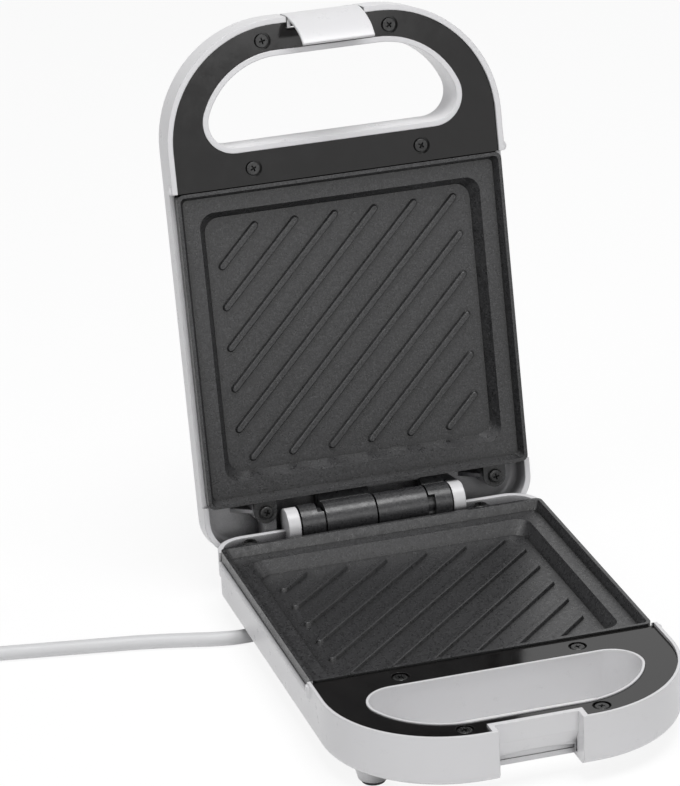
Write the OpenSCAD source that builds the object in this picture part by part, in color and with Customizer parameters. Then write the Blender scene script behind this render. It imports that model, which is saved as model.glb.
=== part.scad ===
// Sandwich toaster for one slice, with its hinged lid standing open.
// Millimetres. X to the right, Y from the handle to the hinge, Z up.
// The origin is on the table, under the middle of the open object's width and depth, with the cord left out.
// The base is modelled below the parting plane. The lid is built in the same way, turned over, and swung open.

/* [Plates] */
// Width of a cooking plate over its rim
plate_w = 128; // [122:1:134]
// Length of a cooking plate over its rim
plate_l = 121.2; // [115.2:1:127.2]
// Distance of the plates' middle behind the middle of the feet
plate_shift = 22; // [19:1:25]
// Height of the plate's side
rim_h = 4; // [3.6:0.1:4.4]
// Width of the flat top of the rim
rim_top_w = 1.3; // [1:0.1:1.8]
// Width of the slope inside the rim
rim_slope = 1.5; // [1:0.1:2]
// Depth of the land below the top of the rim
land_drop = 3.5; // [3:0.1:3.8]
// Width of the land between the rim's slope and the pocket
land_w = 5.8; // [5:0.1:7]
// Depth of the pocket below the land
pocket_d = 5; // [4.5:0.1:5.4]
// Width of the pocket's sloping wall
pocket_slope = 2.8; // [2:0.1:3.4]
// Corner radius of the pocket
pocket_r = 6.5; // [5:0.5:12]
// Thickness of the castings
cast_t = 2; // [1.6:0.1:2.2]
// Number of ridges in a plate
ridge_n = 11; // [5:2:11]
// Spacing of the ridges, measured along the plate
ridge_pitch = 15.8; // [14.5:0.1:17]
// Distance by which the middle ridge misses the plate's corner line
ridge_shift = 1.5; // [0:0.1:2]
// Width of a ridge
ridge_w = 3.3; // [2.5:0.1:4.5]
// Height of a ridge
ridge_h = 1.3; // [0.8:0.1:2]

/* [Shells] */
// Thickness of the shells' walls
wall_t = 2.1; // [1.8:0.1:2.4]
// Thickness of the shells' floors
floor_t = 2; // [1.6:0.1:2.2]
// Depth of the base below the parting plane
base_d = 19; // [18:0.1:20]
// Depth of the lid above the parting plane
lid_d = 18; // [17.2:0.1:21]
// Distance from a plate's side to the outside of the shell
side_gap = 1.5; // [1.2:0.1:2]
// Distance that the handle stands out in front of the plates
handle_l = 61.5; // [59:0.5:66]
// Radius of the shells' outline beside the handle
front_r = 45.5; // [44:0.5:47]
// Radius of the base's bottom edge
base_edge_r = 2.8; // [1:0.1:3.5]
// Radius of the lid's top edge
lid_edge_r = 4.5; // [2:0.1:6]
// Depth of the hinge deck at the back of the base
deck_d = 11.7; // [11:0.1:12.5]

/* [Handle] */
// Half width of the handle hole
hole_half_w = 51; // [48:0.5:52]
// Width of the bar between the plate and the hole
bar_w = 12.8; // [12.4:0.2:14]
// Width of the front grip, from the hole to the front
grip_w = 11.9; // [11.5:0.1:12.5]
// Corner radius of the hole beside the bar
hole_r = 12; // [9:0.5:14]
// Thickness of the handle panels
panel_t = 2; // [1.6:0.1:2.4]
// Depth of the panels' face below the parting plane
panel_drop = 1.3; // [1:0.1:1.8]
// Width of the base's rim round its panel
base_rim_w = 1.2; // [1:0.1:1.5]
// Width of the base's lip inside the hole
base_lip_w = 1.1; // [0.9:0.1:1.4]
// Width of the lid's lip inside the hole
lid_lip_w = 2.2; // [1.8:0.1:2.6]

/* [Latch] */
// Width of the recess for the latch
recess_w = 30.4; // [28:0.2:32]
// Depth of the recess
recess_d = 5; // [4.8:0.1:5.4]
// Clearance between the latch and each side of its recess
latch_gap = 0.4; // [0.3:0.1:0.8]
// Thickness of the latch
latch_t = 1.8; // [1.4:0.1:2]
// Radius of the latch's pin
latch_pin_r = 1; // [0.8:0.1:1.2]

/* [Hinge] */
// Angle of the open lid
open_angle = 100.9; // [90:0.1:101]
// Radius of the hinge barrel
barrel_r = 7; // [6.4:0.1:7.2]
// Distance of the hinge axis behind the plates
hinge_back = 10.24; // [10:0.02:10.6]
// Radius of the hinge pin
pin_r = 2; // [1.5:0.1:2.5]
// Length of a short knuckle
short_knuckle = 9.1; // [8:0.1:10]
// Length of a long knuckle
long_knuckle = 20; // [18:0.5:21]
// Gap between two knuckles
knuckle_gap = 0.6; // [0.4:0.1:0.8]

/* [Feet] */
// Distance of a foot from the middle line
foot_x = 52; // [49:0.5:53]
// Distance of a foot from the middle of the feet, along the object
foot_y = 71; // [68:0.5:73]
// Height of the base's bottom above the table
foot_h = 7; // [6.6:0.1:10]
// Radius of a foot's lower end
foot_r = 5.4; // [5:0.1:6]
// Radius of a rubber pad
pad_r = 4.3; // [3.8:0.1:4.6]
// Height of a rubber pad below its foot
pad_h = 1.7; // [1.4:0.1:2.2]

/* [Screws] */
// Radius of the screw heads
head_r = 2.7; // [2.4:0.1:2.9]
// Radius of the screw threads
thread_r = 1.5; // [1.3:0.1:1.7]

/* [Cord] */
// Diameter of the cord
cord_d = 5.4; // [5:0.1:5.6]
// Radius of the coil at the middle of its turns
coil_r = 30; // [28:0.5:32]
// Turns in the coil, one on another
coil_turns = 3; // [2:1:4]
// Length of the cord boot
boot_l = 22; // [20:1:24]

/* [Hidden] */
$fn = 96;
white = "gainsboro";
black = "#181718";
casting = "#38393b";
steel = "silver";

parting_z = foot_h + base_d;

// Depth of the open object in front of and behind the hinge, and the places that centre it
lean = open_angle - 90;
hinge_reach = plate_l + hinge_back + handle_l;
lean_depth = (hinge_reach - lid_edge_r) * sin(lean) + (lid_d - lid_edge_r) * cos(lean) + lid_edge_r;
plate_y = (handle_l - hinge_back - lean_depth) / 2;
feet_y = plate_y - plate_shift;
plate_front = plate_y - plate_l / 2;
plate_back = plate_y + plate_l / 2;
hinge_y = plate_back + hinge_back;
half_w = plate_w / 2 + side_gap;
front_y = plate_front - handle_l;
arc_x = half_w - front_r;
arc_y = front_y + front_r;

// Heights below the parting plane
lip_z = -0.2;
rim_z = -0.5;
rim_foot_z = rim_z - rim_h;
land_z = rim_z - land_drop;
pocket_z = land_z - pocket_d;
plate_under_z = pocket_z - cast_t;
wall_top_z = rim_foot_z - 1;
panel_z = -panel_drop;
panel_under_z = panel_z - panel_t;
lid_lip_z = -4;
base_floor_z = -base_d + floor_t;
lid_floor_z = -lid_d + floor_t;
deck_floor_z = -deck_d + floor_t;

// Plan places
tray_back = plate_back - 0.2;
tray_back_r = 6;
deck_back = hinge_y + 1.5;
deck_r = 12;
deck_half_w = half_w - 1;
lid_back = hinge_y + barrel_r + wall_t + 0.7;
lid_back_r = 14;
cross_wall_t = 1.8;
cross_wall_y = plate_front - 2.5 - cross_wall_t;
panel_back = plate_front - 0.3;
wall_end = plate_front - 0.4;

// Pocket and ridges
land_half_w = plate_w / 2 - rim_top_w - rim_slope;
land_half_l = plate_l / 2 - rim_top_w - rim_slope;
pocket_half_w = land_half_w - land_w;
pocket_half_l = land_half_l - land_w;
ridge_half_w = pocket_half_w - 6.6;
ridge_half_l = pocket_half_l - 6;

// Handle hole: two large front arcs and two small back ones, each pair tangent
hole_back = plate_front - bar_w;
hole_front = front_y + grip_w;
hole_small_x = hole_half_w - hole_r;
hole_small_y = hole_back - hole_r;
hole_big_x = arc_x;
hole_run = hole_small_y - hole_front;
hole_reach = hole_small_x - hole_big_x;
hole_big_r = (hole_reach ^ 2 + hole_run ^ 2 - hole_r ^ 2) / (2 * (hole_run - hole_r));
hole_big_y = hole_front + hole_big_r;

// Lenses of the two lamps, between the hole's tunnel and the wall in front of the plate
lens_r = 2.6;
lens_y = (hole_back + wall_t - lid_lip_w + cross_wall_y) / 2;

// Screws of the handle panels, two near the grip and two in the bar
grip_screw_x = 24.9;
grip_screw_y = (front_y + wall_t + hole_front) / 2 + 1.1;
bar_screw_x = 33.1;
bar_screw_y = plate_front - 6.3;
head_h = 1.3;
thread_l = 7;
thread_gap = 0.2;
post_r = thread_r + 1.7;

// Screws of the plates, beside the hinge, on different sides in the two halves
near_screw_x = 41.4;
far_screw_x = 50.8;
back_screw_y = plate_back + 4.6;
lug_r = 4.4;
lug_z = rim_z - 2.7;
lug_t = 2.2;
back_head_h = 1.8;
back_bore_depth = thread_l - lug_t + 0.5;

// Hinge
knuckle_split = long_knuckle + 1.5 * knuckle_gap;
knuckle_end = knuckle_split + short_knuckle;
pin_gap = 0.05;
ear_x0 = knuckle_end + knuckle_gap;
ear_x1 = ear_x0 + 4.8;
rib_x0 = ear_x1 + 1.8;
rib_x1 = rib_x0 + 4.8;
pocket_gap = 1.2;
ear_r = barrel_r - 0.4;
flange_t = 2;
flange_top_z = wall_top_z + 0.4;
flange_bar_h = 4;
flange_leg_z = -15.2;
hinge_screw_z = -12.6;
notch_l = 2.4;
notch_r = barrel_r - 2.2;
tab_angle = open_angle / 2 + 8;
tab_half = 4;
tab_l = 1.5 * knuckle_gap + notch_l - 0.4;
notch_start = tab_angle - tab_half - 2.4;
notch_end = tab_angle + open_angle + tab_half + 1.6;

// Recess and latch
recess_back = front_y + recess_d;
recess_half = recess_w / 2;
slope_top_z = -7.5;
hook_z = -13.5;
hook_y = recess_back + 3.5;
arch_drop = 1.1;
arch_r = recess_half ^ 2 / (2 * arch_drop);
latch_half = recess_half - latch_gap;
latch_y = front_y + 2.2;
latch_z = 8.7;
latch_barrel_r = 2.6;

// Feet
foot_slope = 1.6;

// Cord
cord_r = cord_d / 2;
boot_x = -6;
boot_z = -12.8;
boot_tilt = 12;
boot_r = 3.6;
boot_end_r = 3.1;
boot_y = tray_back + boot_r * sin(boot_tilt) + 0.05;
boot_end_y = boot_y + boot_l * cos(boot_tilt);
boot_end_z = parting_z + boot_z - boot_l * sin(boot_tilt);
coil_x = -188;
coil_y = feet_y + 107;
tie_t = 0.6;
turn_bite = 0.1;
coil_h = coil_turns * cord_d;
tail_x = coil_x - coil_r;
tail_z = tie_t + coil_h - cord_r;
plug_y = coil_y + 46;
plug_z = 12;
plug_grip_l = 18;
plug_head_l = 14;
plug_half_w = 17.5;
tail_sag = 3;
tail_n = 8;

// Course of the cord from the boot to the coil: X, Y from the middle of the feet, and the height of its underside
cord_course = [
    [boot_x, boot_end_y - feet_y, boot_end_z - cord_r],
    [-6, 112, 4.2], [-6, 120, 2.5], [-6.5, 128, 0.7], [-9, 137, 0], [-14.5, 144.5, 0],
    [-23, 148.5, 0], [-32.5, 148, 0], [-41, 143.5, 0], [-47, 136, 0], [-49.5, 127, 0],
    [-49, 117, 0], [-46.5, 107, 0], [-43.5, 97, 0], [-41, 87, 0], [-40.5, 77, 0],
    [-42, 67.5, 0], [-47, 59.5, 0], [-54.5, 54, 0], [-64, 52, 0], [-74, 53.5, 0],
    [-84, 56.5, 0], [-94, 59.5, 0], [-104, 62, 0], [-114, 64, 0], [-124, 66, 0],
    [-134, 68, 0], [-144, 70, 0], [-154, 72, 0], [-164, 74, 0], [-175, 76, 0.3],
    [coil_x, coil_y - feet_y - coil_r, tie_t]
];
cord_route = [for (p = cord_course) p + [0, feet_y, cord_r]];
tail_route = [
    for (i = [0 : tail_n]) let (a = 180 * i / tail_n, z = tail_z + (plug_z - tail_z) * (1 - cos(a)) / 2)
        [tail_x, coil_y + (plug_y - coil_y) * i / tail_n, z - tail_sag * sin(a) ^ 2]
];

// Places a part that is modelled from the parting plane into the base
module in_base() {
    translate([0, 0, parting_z]) children();
}

// Places a part that is modelled in the closed lid, above the parting plane, into the open lid
module in_lid() {
    translate([0, hinge_y, parting_z]) rotate([-open_angle, 0, 0]) translate([0, -hinge_y, 0]) children();
}

// Places a part that is modelled as for the base into the open lid, turned over
module turned_in_lid() {
    in_lid() rotate([0, 180, 0]) children();
}

// Section of a tray from its middle to its side, with a round bottom edge
module edge_section(w, bottom, top, r) {
    translate([0, bottom + r]) square([w, top - bottom - r]);
    translate([0, bottom]) square([w - r, r]);
    translate([w - r, bottom + r]) circle(r);
}

// Solid of a tray's outline, drawn in by inset: D-shaped in front and rounded at the back
module tray_form(inset, bottom, top, back, back_r, r) {
    for (side = [0, 1]) mirror([side, 0, 0]) {
        translate([arc_x, arc_y, 0]) rotate([0, 0, -90]) rotate_extrude(angle = 90)
            edge_section(front_r - inset, bottom, top, r);
        translate([half_w - back_r, back - back_r, 0]) rotate_extrude(angle = 90)
            edge_section(back_r - inset, bottom, top, r);
        translate([0, back - back_r, 0]) rotate([90, 0, 0]) linear_extrude(back - back_r - arc_y)
            edge_section(half_w - inset, bottom, top, r);
    }
    translate([-arc_x, arc_y, 0]) rotate([90, 0, 90]) linear_extrude(2 * arc_x) mirror([1, 0, 0])
        edge_section(front_r - inset, bottom, top, r);
    translate([back_r - half_w, back - back_r, 0]) rotate([90, 0, 90]) linear_extrude(2 * (half_w - back_r))
        edge_section(back_r - inset, bottom, top, r);
}

// Plan of the hinge deck at the back of the base
module deck_plan(inset) {
    w = deck_half_w - inset;
    front = tray_back - tray_back_r;
    translate([-w, front]) square([2 * w, deck_back - deck_r - front]);
    translate([deck_r - deck_half_w, front]) square([2 * (deck_half_w - deck_r), deck_back - inset - front]);
    for (side = [-1, 1]) translate([side * (deck_half_w - deck_r), deck_back - deck_r])
        circle(deck_r - inset);
}

// Plan of the handle hole, grown outward
module hole_plan(grow) {
    far = 2 * hole_big_r;
    dx = hole_reach / (hole_big_r - hole_r);
    dy = (hole_small_y - hole_big_y) / (hole_big_r - hole_r);
    translate([-hole_small_x, hole_small_y - 1]) square([2 * hole_small_x, hole_r + grow + 1]);
    for (side = [-1, 1]) translate([side * hole_small_x, hole_small_y]) circle(hole_r + grow);
    intersection() {
        union() {
            for (side = [-1, 1]) translate([side * hole_big_x, hole_big_y]) circle(hole_big_r + grow);
            translate([-hole_big_x, hole_front - grow]) square([2 * hole_big_x, hole_run + grow - 0.5]);
        }
        polygon([
            [hole_small_x, hole_small_y], [hole_small_x + far * dx, hole_small_y + far * dy],
            [hole_small_x + far * dx, hole_small_y - far], [-hole_small_x - far * dx, hole_small_y - far],
            [-hole_small_x - far * dx, hole_small_y + far * dy], [-hole_small_x, hole_small_y]
        ]);
    }
}

// Plan of a tray, drawn in by inset
module tray_plan(inset, back, back_r) {
    for (side = [-1, 1]) {
        translate([side * arc_x, arc_y]) circle(front_r - inset);
        translate([side * (half_w - back_r), back - back_r]) circle(back_r - inset);
    }
    translate([-arc_x, front_y + inset]) square([2 * arc_x, front_r]);
    translate([inset - half_w, arc_y]) square([2 * (half_w - inset), back - back_r - arc_y]);
    translate([back_r - half_w, arc_y]) square([2 * (half_w - back_r), back - inset - arc_y]);
}

// Plan of the D in front of the plates, drawn in by inset
module d_plan(inset, back) {
    intersection() {
        union() {
            for (side = [-1, 1]) translate([side * arc_x, arc_y]) circle(front_r - inset);
            translate([-arc_x, front_y + inset]) square([2 * arc_x, front_r]);
            translate([inset - half_w, arc_y]) square([2 * (half_w - inset), back - arc_y]);
        }
        translate([-half_w, front_y]) square([2 * half_w, back - front_y]);
    }
}

module at_panel_screws() {
    for (side = [-1, 1]) {
        translate([side * grip_screw_x, grip_screw_y, 0]) children();
        translate([side * bar_screw_x, bar_screw_y, 0]) children();
    }
}

module at_back_screws() {
    translate([-far_screw_x, back_screw_y, 0]) children();
    translate([near_screw_x, back_screw_y, 0]) children();
}

// Screw with a pan head and a cross recess, its head's underside at the origin
module screw(head_height, length) {
    recess_l = 1.2 * head_r;
    difference() {
        union() {
            cylinder(h = head_height, r = head_r);
            translate([0, 0, -length]) cylinder(h = length + head_height / 2, r = thread_r - thread_gap);
        }
        for (turn = [0, 90]) rotate([0, 0, turn + 20])
            translate([-recess_l / 2, -0.35, head_height - 0.8]) cube([recess_l, 0.7, 1]);
    }
}

// Prism along X whose section narrows from top to bottom
module slope_prism(l, half_top, half_bottom, top, bottom) {
    rotate([90, 0, 90]) linear_extrude(l, center = true)
        polygon([[-half_bottom, bottom], [half_bottom, bottom], [half_top, top], [-half_top, top]]);
}

// One diagonal ridge with round ends, offset from the middle one
module ridge(offset) {
    end = ridge_w / 2;
    x0 = max(end - ridge_half_w, end - ridge_half_l + offset);
    x1 = min(ridge_half_w - end, ridge_half_l - end + offset);
    for (x = [x0, x1]) translate([x, x - offset, 0]) cylinder(h = ridge_h + cast_t / 2, r = end);
    translate([x0, x0 - offset, 0]) rotate([0, 0, 45]) translate([0, -end, 0])
        cube([(x1 - x0) * sqrt(2), ridge_w, ridge_h + cast_t / 2]);
}

// Cooking plate: rim, land, pocket with diagonal ridges, and the lugs that hold it
module plate() {
    skirt = wall_t + 0.4;
    outer_r = 2.5;
    body_half_w = pocket_half_w + 1.5;
    body_half_l = pocket_half_l + 1.5;
    body_r = pocket_r + 1.5;
    tongue_w = 12;
    tongue_l = 3.5;
    color(casting) {
        difference() {
            union() {
                translate([0, plate_y, 0]) {
                    rounded_box(plate_w / 2, plate_l / 2, outer_r, rim_foot_z, rim_z);
                    rounded_box(plate_w / 2 - skirt, plate_l / 2 - skirt, outer_r, land_z - cast_t, rim_foot_z);
                    rounded_box(body_half_w, body_half_l, body_r, plate_under_z, land_z - cast_t);
                }
                at_back_screws() translate([0, 0, lug_z - lug_t]) {
                    cylinder(h = lug_t, r = lug_r);
                    translate([-lug_r, plate_back - back_screw_y - rim_top_w, 0])
                        cube([2 * lug_r, back_screw_y - plate_back + rim_top_w, lug_t]);
                }
                for (side = [-1, 1])
                    translate([side * bar_screw_x / 2 - tongue_w / 2, plate_front - tongue_l, land_z - cast_t])
                    cube([tongue_w, tongue_l + skirt + 1, cast_t]);
            }
            translate([0, plate_y, 0]) {
                intersection() {
                    slope_prism(plate_w, plate_l / 2 - rim_top_w, land_half_l, rim_z, land_z);
                    rotate([0, 0, 90]) slope_prism(plate_l, plate_w / 2 - rim_top_w, land_half_w, rim_z, land_z);
                }
                pocket();
            }
            at_back_screws() translate([0, 0, lug_z - lug_t - 1]) cylinder(h = lug_t + 2, r = thread_r);
        }
        translate([0, plate_y, pocket_z - cast_t / 2])
            for (i = [0 : ridge_n - 1]) ridge((i - (ridge_n - 1) / 2) * ridge_pitch - ridge_shift);
    }
}

module rounded_box(half_x, half_y, r, bottom, top) {
    for (x = [-1, 1]) for (y = [-1, 1]) translate([x * (half_x - r), y * (half_y - r), bottom])
        cylinder(h = top - bottom, r = r);
    translate([-half_x, r - half_y, bottom]) cube([2 * half_x, 2 * (half_y - r), top - bottom]);
    translate([r - half_x, -half_y, bottom]) cube([2 * (half_x - r), 2 * half_y, top - bottom]);
}

// Pocket with sloping walls and conical corners, open at the top
module pocket() {
    for (x = [-1, 1]) for (y = [-1, 1])
        translate([x * (pocket_half_w - pocket_r), y * (pocket_half_l - pocket_r), pocket_z])
            cylinder(h = pocket_d, r1 = pocket_r - pocket_slope, r2 = pocket_r);
    slope_prism(2 * (pocket_half_w - pocket_r), pocket_half_l, pocket_half_l - pocket_slope, land_z, pocket_z);
    rotate([0, 0, 90])
        slope_prism(2 * (pocket_half_l - pocket_r), pocket_half_w, pocket_half_w - pocket_slope, land_z, pocket_z);
}

// Heating tube, pressed flat against the plate and bent into a loop with two tails
module element() {
    tube_w = 6.5;
    tube_h = 3.2;
    loop_x = 34;
    loop_y = 32;
    loop_r = 14;
    gap = 9;
    tail_l = 10;
    color("dimgray") translate([0, plate_y, plate_under_z - 0.1 - tube_h]) linear_extrude(tube_h) {
        difference() {
            loop_plan(loop_x + tube_w / 2, loop_y + tube_w / 2, loop_r + tube_w / 2);
            loop_plan(loop_x - tube_w / 2, loop_y - tube_w / 2, loop_r - tube_w / 2);
            translate([-gap, loop_y - tube_w]) square([2 * gap, 2 * tube_w]);
        }
        for (side = [-1, 1]) translate([side * (gap + tube_w / 2) - tube_w / 2, loop_y - tube_w / 2])
            square([tube_w, tail_l + tube_w / 2]);
    }
}

module loop_plan(half_x, half_y, r) {
    for (x = [-1, 1]) for (y = [-1, 1]) translate([x * (half_x - r), y * (half_y - r)]) circle(r);
    translate([-half_x, r - half_y]) square([2 * half_x, 2 * (half_y - r)]);
    translate([r - half_x, -half_y]) square([2 * (half_x - r), 2 * half_y]);
}

// Thin steel sheet behind the element
module reflector() {
    sheet_t = 0.4;
    half_x = pocket_half_w - 6;
    half_y = pocket_half_l - 4;
    vent_r = 3;
    color(steel) translate([0, plate_y, plate_under_z - 3.6 - sheet_t]) linear_extrude(sheet_t) difference() {
        loop_plan(half_x, half_y, 4);
        for (x = [-1, 0, 1]) for (y = [-1, 1]) translate([x * half_x / 2, y * half_y / 3]) circle(vent_r);
    }
}

// Black cover of the handle ring, with its hole, its notch beyond the recess and four screw seats
module panel(rim_w, notch_margin) {
    edge_gap = 0.1;
    notch_half = recess_half + notch_margin + edge_gap;
    notch_y = recess_back + notch_margin + edge_gap;
    seat_r = head_r + 0.6;
    color(black) difference() {
        translate([0, 0, panel_under_z]) linear_extrude(panel_t) difference() {
            d_plan(rim_w + edge_gap, panel_back);
            hole_plan(0);
            translate([-notch_half, front_y]) square([2 * notch_half, notch_y - front_y]);
        }
        at_panel_screws() {
            translate([0, 0, panel_z - head_h]) cylinder(h = head_h + 1, r = seat_r);
            translate([0, 0, panel_under_z - 1]) cylinder(h = panel_t + 1, r = thread_r + thread_gap);
        }
    }
}

// Everything inside a shell that the two halves share; back_floor_z is the floor beside the hinge
module shell_inside(floor_z, back_floor_z, lip_w) {
    rest_z = land_z - cast_t;
    boss_z = lug_z - lug_t;
    // Tunnel round the handle hole: a wall below the panel and a lip beside it
    translate([0, 0, floor_z - 0.5]) linear_extrude(panel_under_z - floor_z + 0.4) hole_plan(wall_t - lip_w - 0.1);
    translate([0, 0, floor_z]) linear_extrude(panel_z + 0.4 - floor_z) hole_plan(-0.1);
    // Posts of the panel screws
    at_panel_screws() translate([0, 0, floor_z - 0.5]) cylinder(h = panel_under_z - floor_z + 0.4, r = post_r);
    // Wall between the handle and the plate
    translate([0.5 - half_w + wall_t / 2, cross_wall_y, floor_z - 0.5])
        cube([2 * half_w - wall_t - 1, cross_wall_t, rest_z - floor_z + 0.4]);
    // Bosses of the plate screws, each with a gusset towards the near side
    at_back_screws() {
        translate([0, 0, back_floor_z - 0.5]) cylinder(h = boss_z - back_floor_z + 0.4, r = lug_r);
        translate([0, -0.75, 0]) rotate([90, 0, 0]) mirror([0, 0, 1]) linear_extrude(1.5)
            polygon([[0, boss_z - 2], [lug_r, boss_z - 2], [lug_r + 7, back_floor_z - 0.5], [0, back_floor_z - 0.5]]);
    }
}

// Bores and openings that the two halves share
module shell_cuts(depth, lip_w) {
    through = depth + 2;
    bore_depth = 8;
    translate([0, 0, -through]) linear_extrude(through + 1) hole_plan(-lip_w);
    translate([-recess_half, front_y - 1, -through]) cube([recess_w, recess_d + 1, through + 1]);
    at_panel_screws() translate([0, 0, panel_under_z - bore_depth]) cylinder(h = bore_depth, r = thread_r - 0.1);
    at_back_screws() translate([0, 0, lug_z - lug_t - back_bore_depth])
        cylinder(h = back_bore_depth, r = thread_r - 0.1);
}

// Walls of the latch recess, up to top; the lower part of the back one slopes in, to a hook edge
module recess_walls(depth, top) {
    t = wall_t;
    far = recess_half + t;
    for (side = [-1, 1]) translate([side * (recess_half + t / 2) - t / 2, front_y + t / 2, 0.5 - depth])
        cube([t, recess_d + t / 2, depth - 0.5 + top]);
    translate([-far, 0, 0]) rotate([90, 0, 90]) linear_extrude(2 * far) polygon([
        [recess_back, top], [recess_back, slope_top_z], [hook_y, hook_z], [hook_y, -depth + 0.1],
        [hook_y + t, -depth + 0.1], [hook_y + t, hook_z], [recess_back + t, slope_top_z], [recess_back + t, top]
    ]);
}

// Cuts away the floor in front of the hook edge and arches it
module recess_mouth(depth) {
    reach = hook_y + wall_t + 0.1 - front_y;
    translate([-recess_half, 0, 0]) rotate([90, 0, 90]) linear_extrude(recess_w) polygon([
        [front_y - 1, 1], [recess_back, 1], [recess_back, slope_top_z], [hook_y, hook_z], [hook_y, -depth - 1],
        [front_y - 1, -depth - 1]
    ]);
    intersection() {
        translate([-recess_half, front_y - 1, -depth - 1]) cube([recess_w, reach + 1, depth + 1 + hook_z + 0.5]);
        translate([0, front_y - 2, hook_z - arch_r]) rotate([-90, 0, 0]) cylinder(h = reach + 4, r = arch_r);
    }
}

// Ear beside the short knuckle, which holds the end of the pin
module ear(floor_z) {
    neck_back = 1.2;
    translate([-ear_x1, hinge_y, 0]) rotate([90, 0, 90]) linear_extrude(ear_x1 - ear_x0) {
        circle(ear_r);
        translate([-ear_r, floor_z - 0.5]) square([ear_r + neck_back, -floor_z + 0.5]);
    }
}

// Small upright bump where a side wall ends
module wall_bump(y, top, length) {
    bump_r = 2.2;
    for (side = [-1, 1]) translate([side * (half_w + 1.1 - bump_r), y, top - length]) {
        cylinder(h = length, r = bump_r);
        translate([0, 0, -2.2]) cylinder(h = 2.2, r1 = 0.8, r2 = bump_r);
    }
}

module base_shell() {
    pocket_x1 = ear_x1 + pocket_gap;
    end_r = 3.5;
    color(white) in_base() difference() {
        union() {
            difference() {
                union() {
                    tray_form(0, -base_d, lip_z, tray_back, tray_back_r, base_edge_r);
                    translate([0, 0, -deck_d]) linear_extrude(deck_d - 2) deck_plan(0);
                    wall_bump(wall_end - 1.6, lip_z - 0.8, 4);
                }
                difference() {
                    union() {
                        tray_form(wall_t, base_floor_z, 1, tray_back, tray_back_r, 0.8);
                        translate([0, 0, deck_floor_z]) linear_extrude(deck_d) deck_plan(wall_t);
                    }
                    // The tray's back wall stays under the deck
                    translate([-half_w, tray_back - wall_t, -base_d]) cube([2 * half_w, wall_t, base_d + wall_top_z]);
                }
                side_cut(tray_back);
            }
            intersection() {
                union() {
                    shell_inside(base_floor_z, deck_floor_z, base_lip_w);
                    recess_walls(base_d, lip_z);
                }
                translate([0, 0, base_floor_z - 0.5]) linear_extrude(base_d) {
                    tray_plan(0.6, tray_back, tray_back_r);
                    deck_plan(0.6);
                }
            }
            // Deck rib on the side of the lid's ear
            translate([rib_x0, tray_back - 0.5, deck_floor_z - 0.5])
                cube([rib_x1 - rib_x0, deck_back - wall_t / 2 - tray_back, wall_top_z - deck_floor_z]);
            ear(deck_floor_z);
            for (x = [-1, 1]) for (y = [-1, 1]) translate([x * foot_x, feet_y + y * foot_y, pad_h - parting_z])
                cylinder(h = foot_h - pad_h + 0.7, r1 = foot_r, r2 = foot_r + foot_slope);
            hinge_bosses();
        }
        shell_cuts(base_d, base_lip_w);
        base_panel_seat();
        recess_mouth(base_d);
        // Pocket for the hinge, open to the back and below
        translate([-ear_x0, tray_back, -deck_d - 1]) cube([ear_x0 + pocket_x1, deck_back, deck_d + 2]);
        pin_bore(-ear_x1 + 1.2, 1);
        hinge_screw_bores();
        // Pad sockets and the hole for the cord boot
        for (x = [-1, 1]) for (y = [-1, 1]) translate([x * foot_x, feet_y + y * foot_y, -parting_z - 1])
            cylinder(h = pad_h + 1.5, r = pad_r + 0.05);
        translate([boot_x, tray_back + 1, boot_z]) rotate([90, 0, 0]) cylinder(h = 8, r = boot_r - 0.6);
    }
}

// Seat of the base panel's edge in the top of the wall, which leaves a narrow rim
module base_panel_seat() {
    notch_half = recess_half + wall_t;
    translate([0, 0, panel_under_z]) linear_extrude(panel_t + panel_drop + 1) difference() {
        d_plan(base_rim_w, wall_end);
        d_plan(wall_t + 0.2, wall_end + 1);
        translate([-notch_half, front_y]) square([2 * notch_half, recess_d + wall_t]);
    }
}

// Takes the side walls down beside the plate
module side_cut(back) {
    translate([-half_w - 3, wall_end, wall_top_z]) cube([2 * half_w + 6, back - wall_end, 10]);
}

// Two blocks inside the tray's back wall that take the screws of the hinge bracket
module hinge_bosses() {
    for (x = hinge_leg_xs()) translate([x, tray_back - wall_t + 0.2, hinge_screw_z]) rotate([90, 0, 0])
        cylinder(h = 3.2, r = 2.8);
}

module hinge_screw_bores() {
    for (x = hinge_leg_xs()) translate([x, tray_back + 1, hinge_screw_z]) rotate([90, 0, 0])
        cylinder(h = 7, r = thread_r - 0.1);
}

function hinge_leg_xs() = [-(knuckle_split + knuckle_end) / 2, long_knuckle / 2 + knuckle_gap / 2];

module pin_bore(x, clearance) {
    translate([x, hinge_y, 0]) rotate([0, 90, 0])
        cylinder(h = 2 * ear_x1, r = pin_r + pin_gap * clearance);
}

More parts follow.
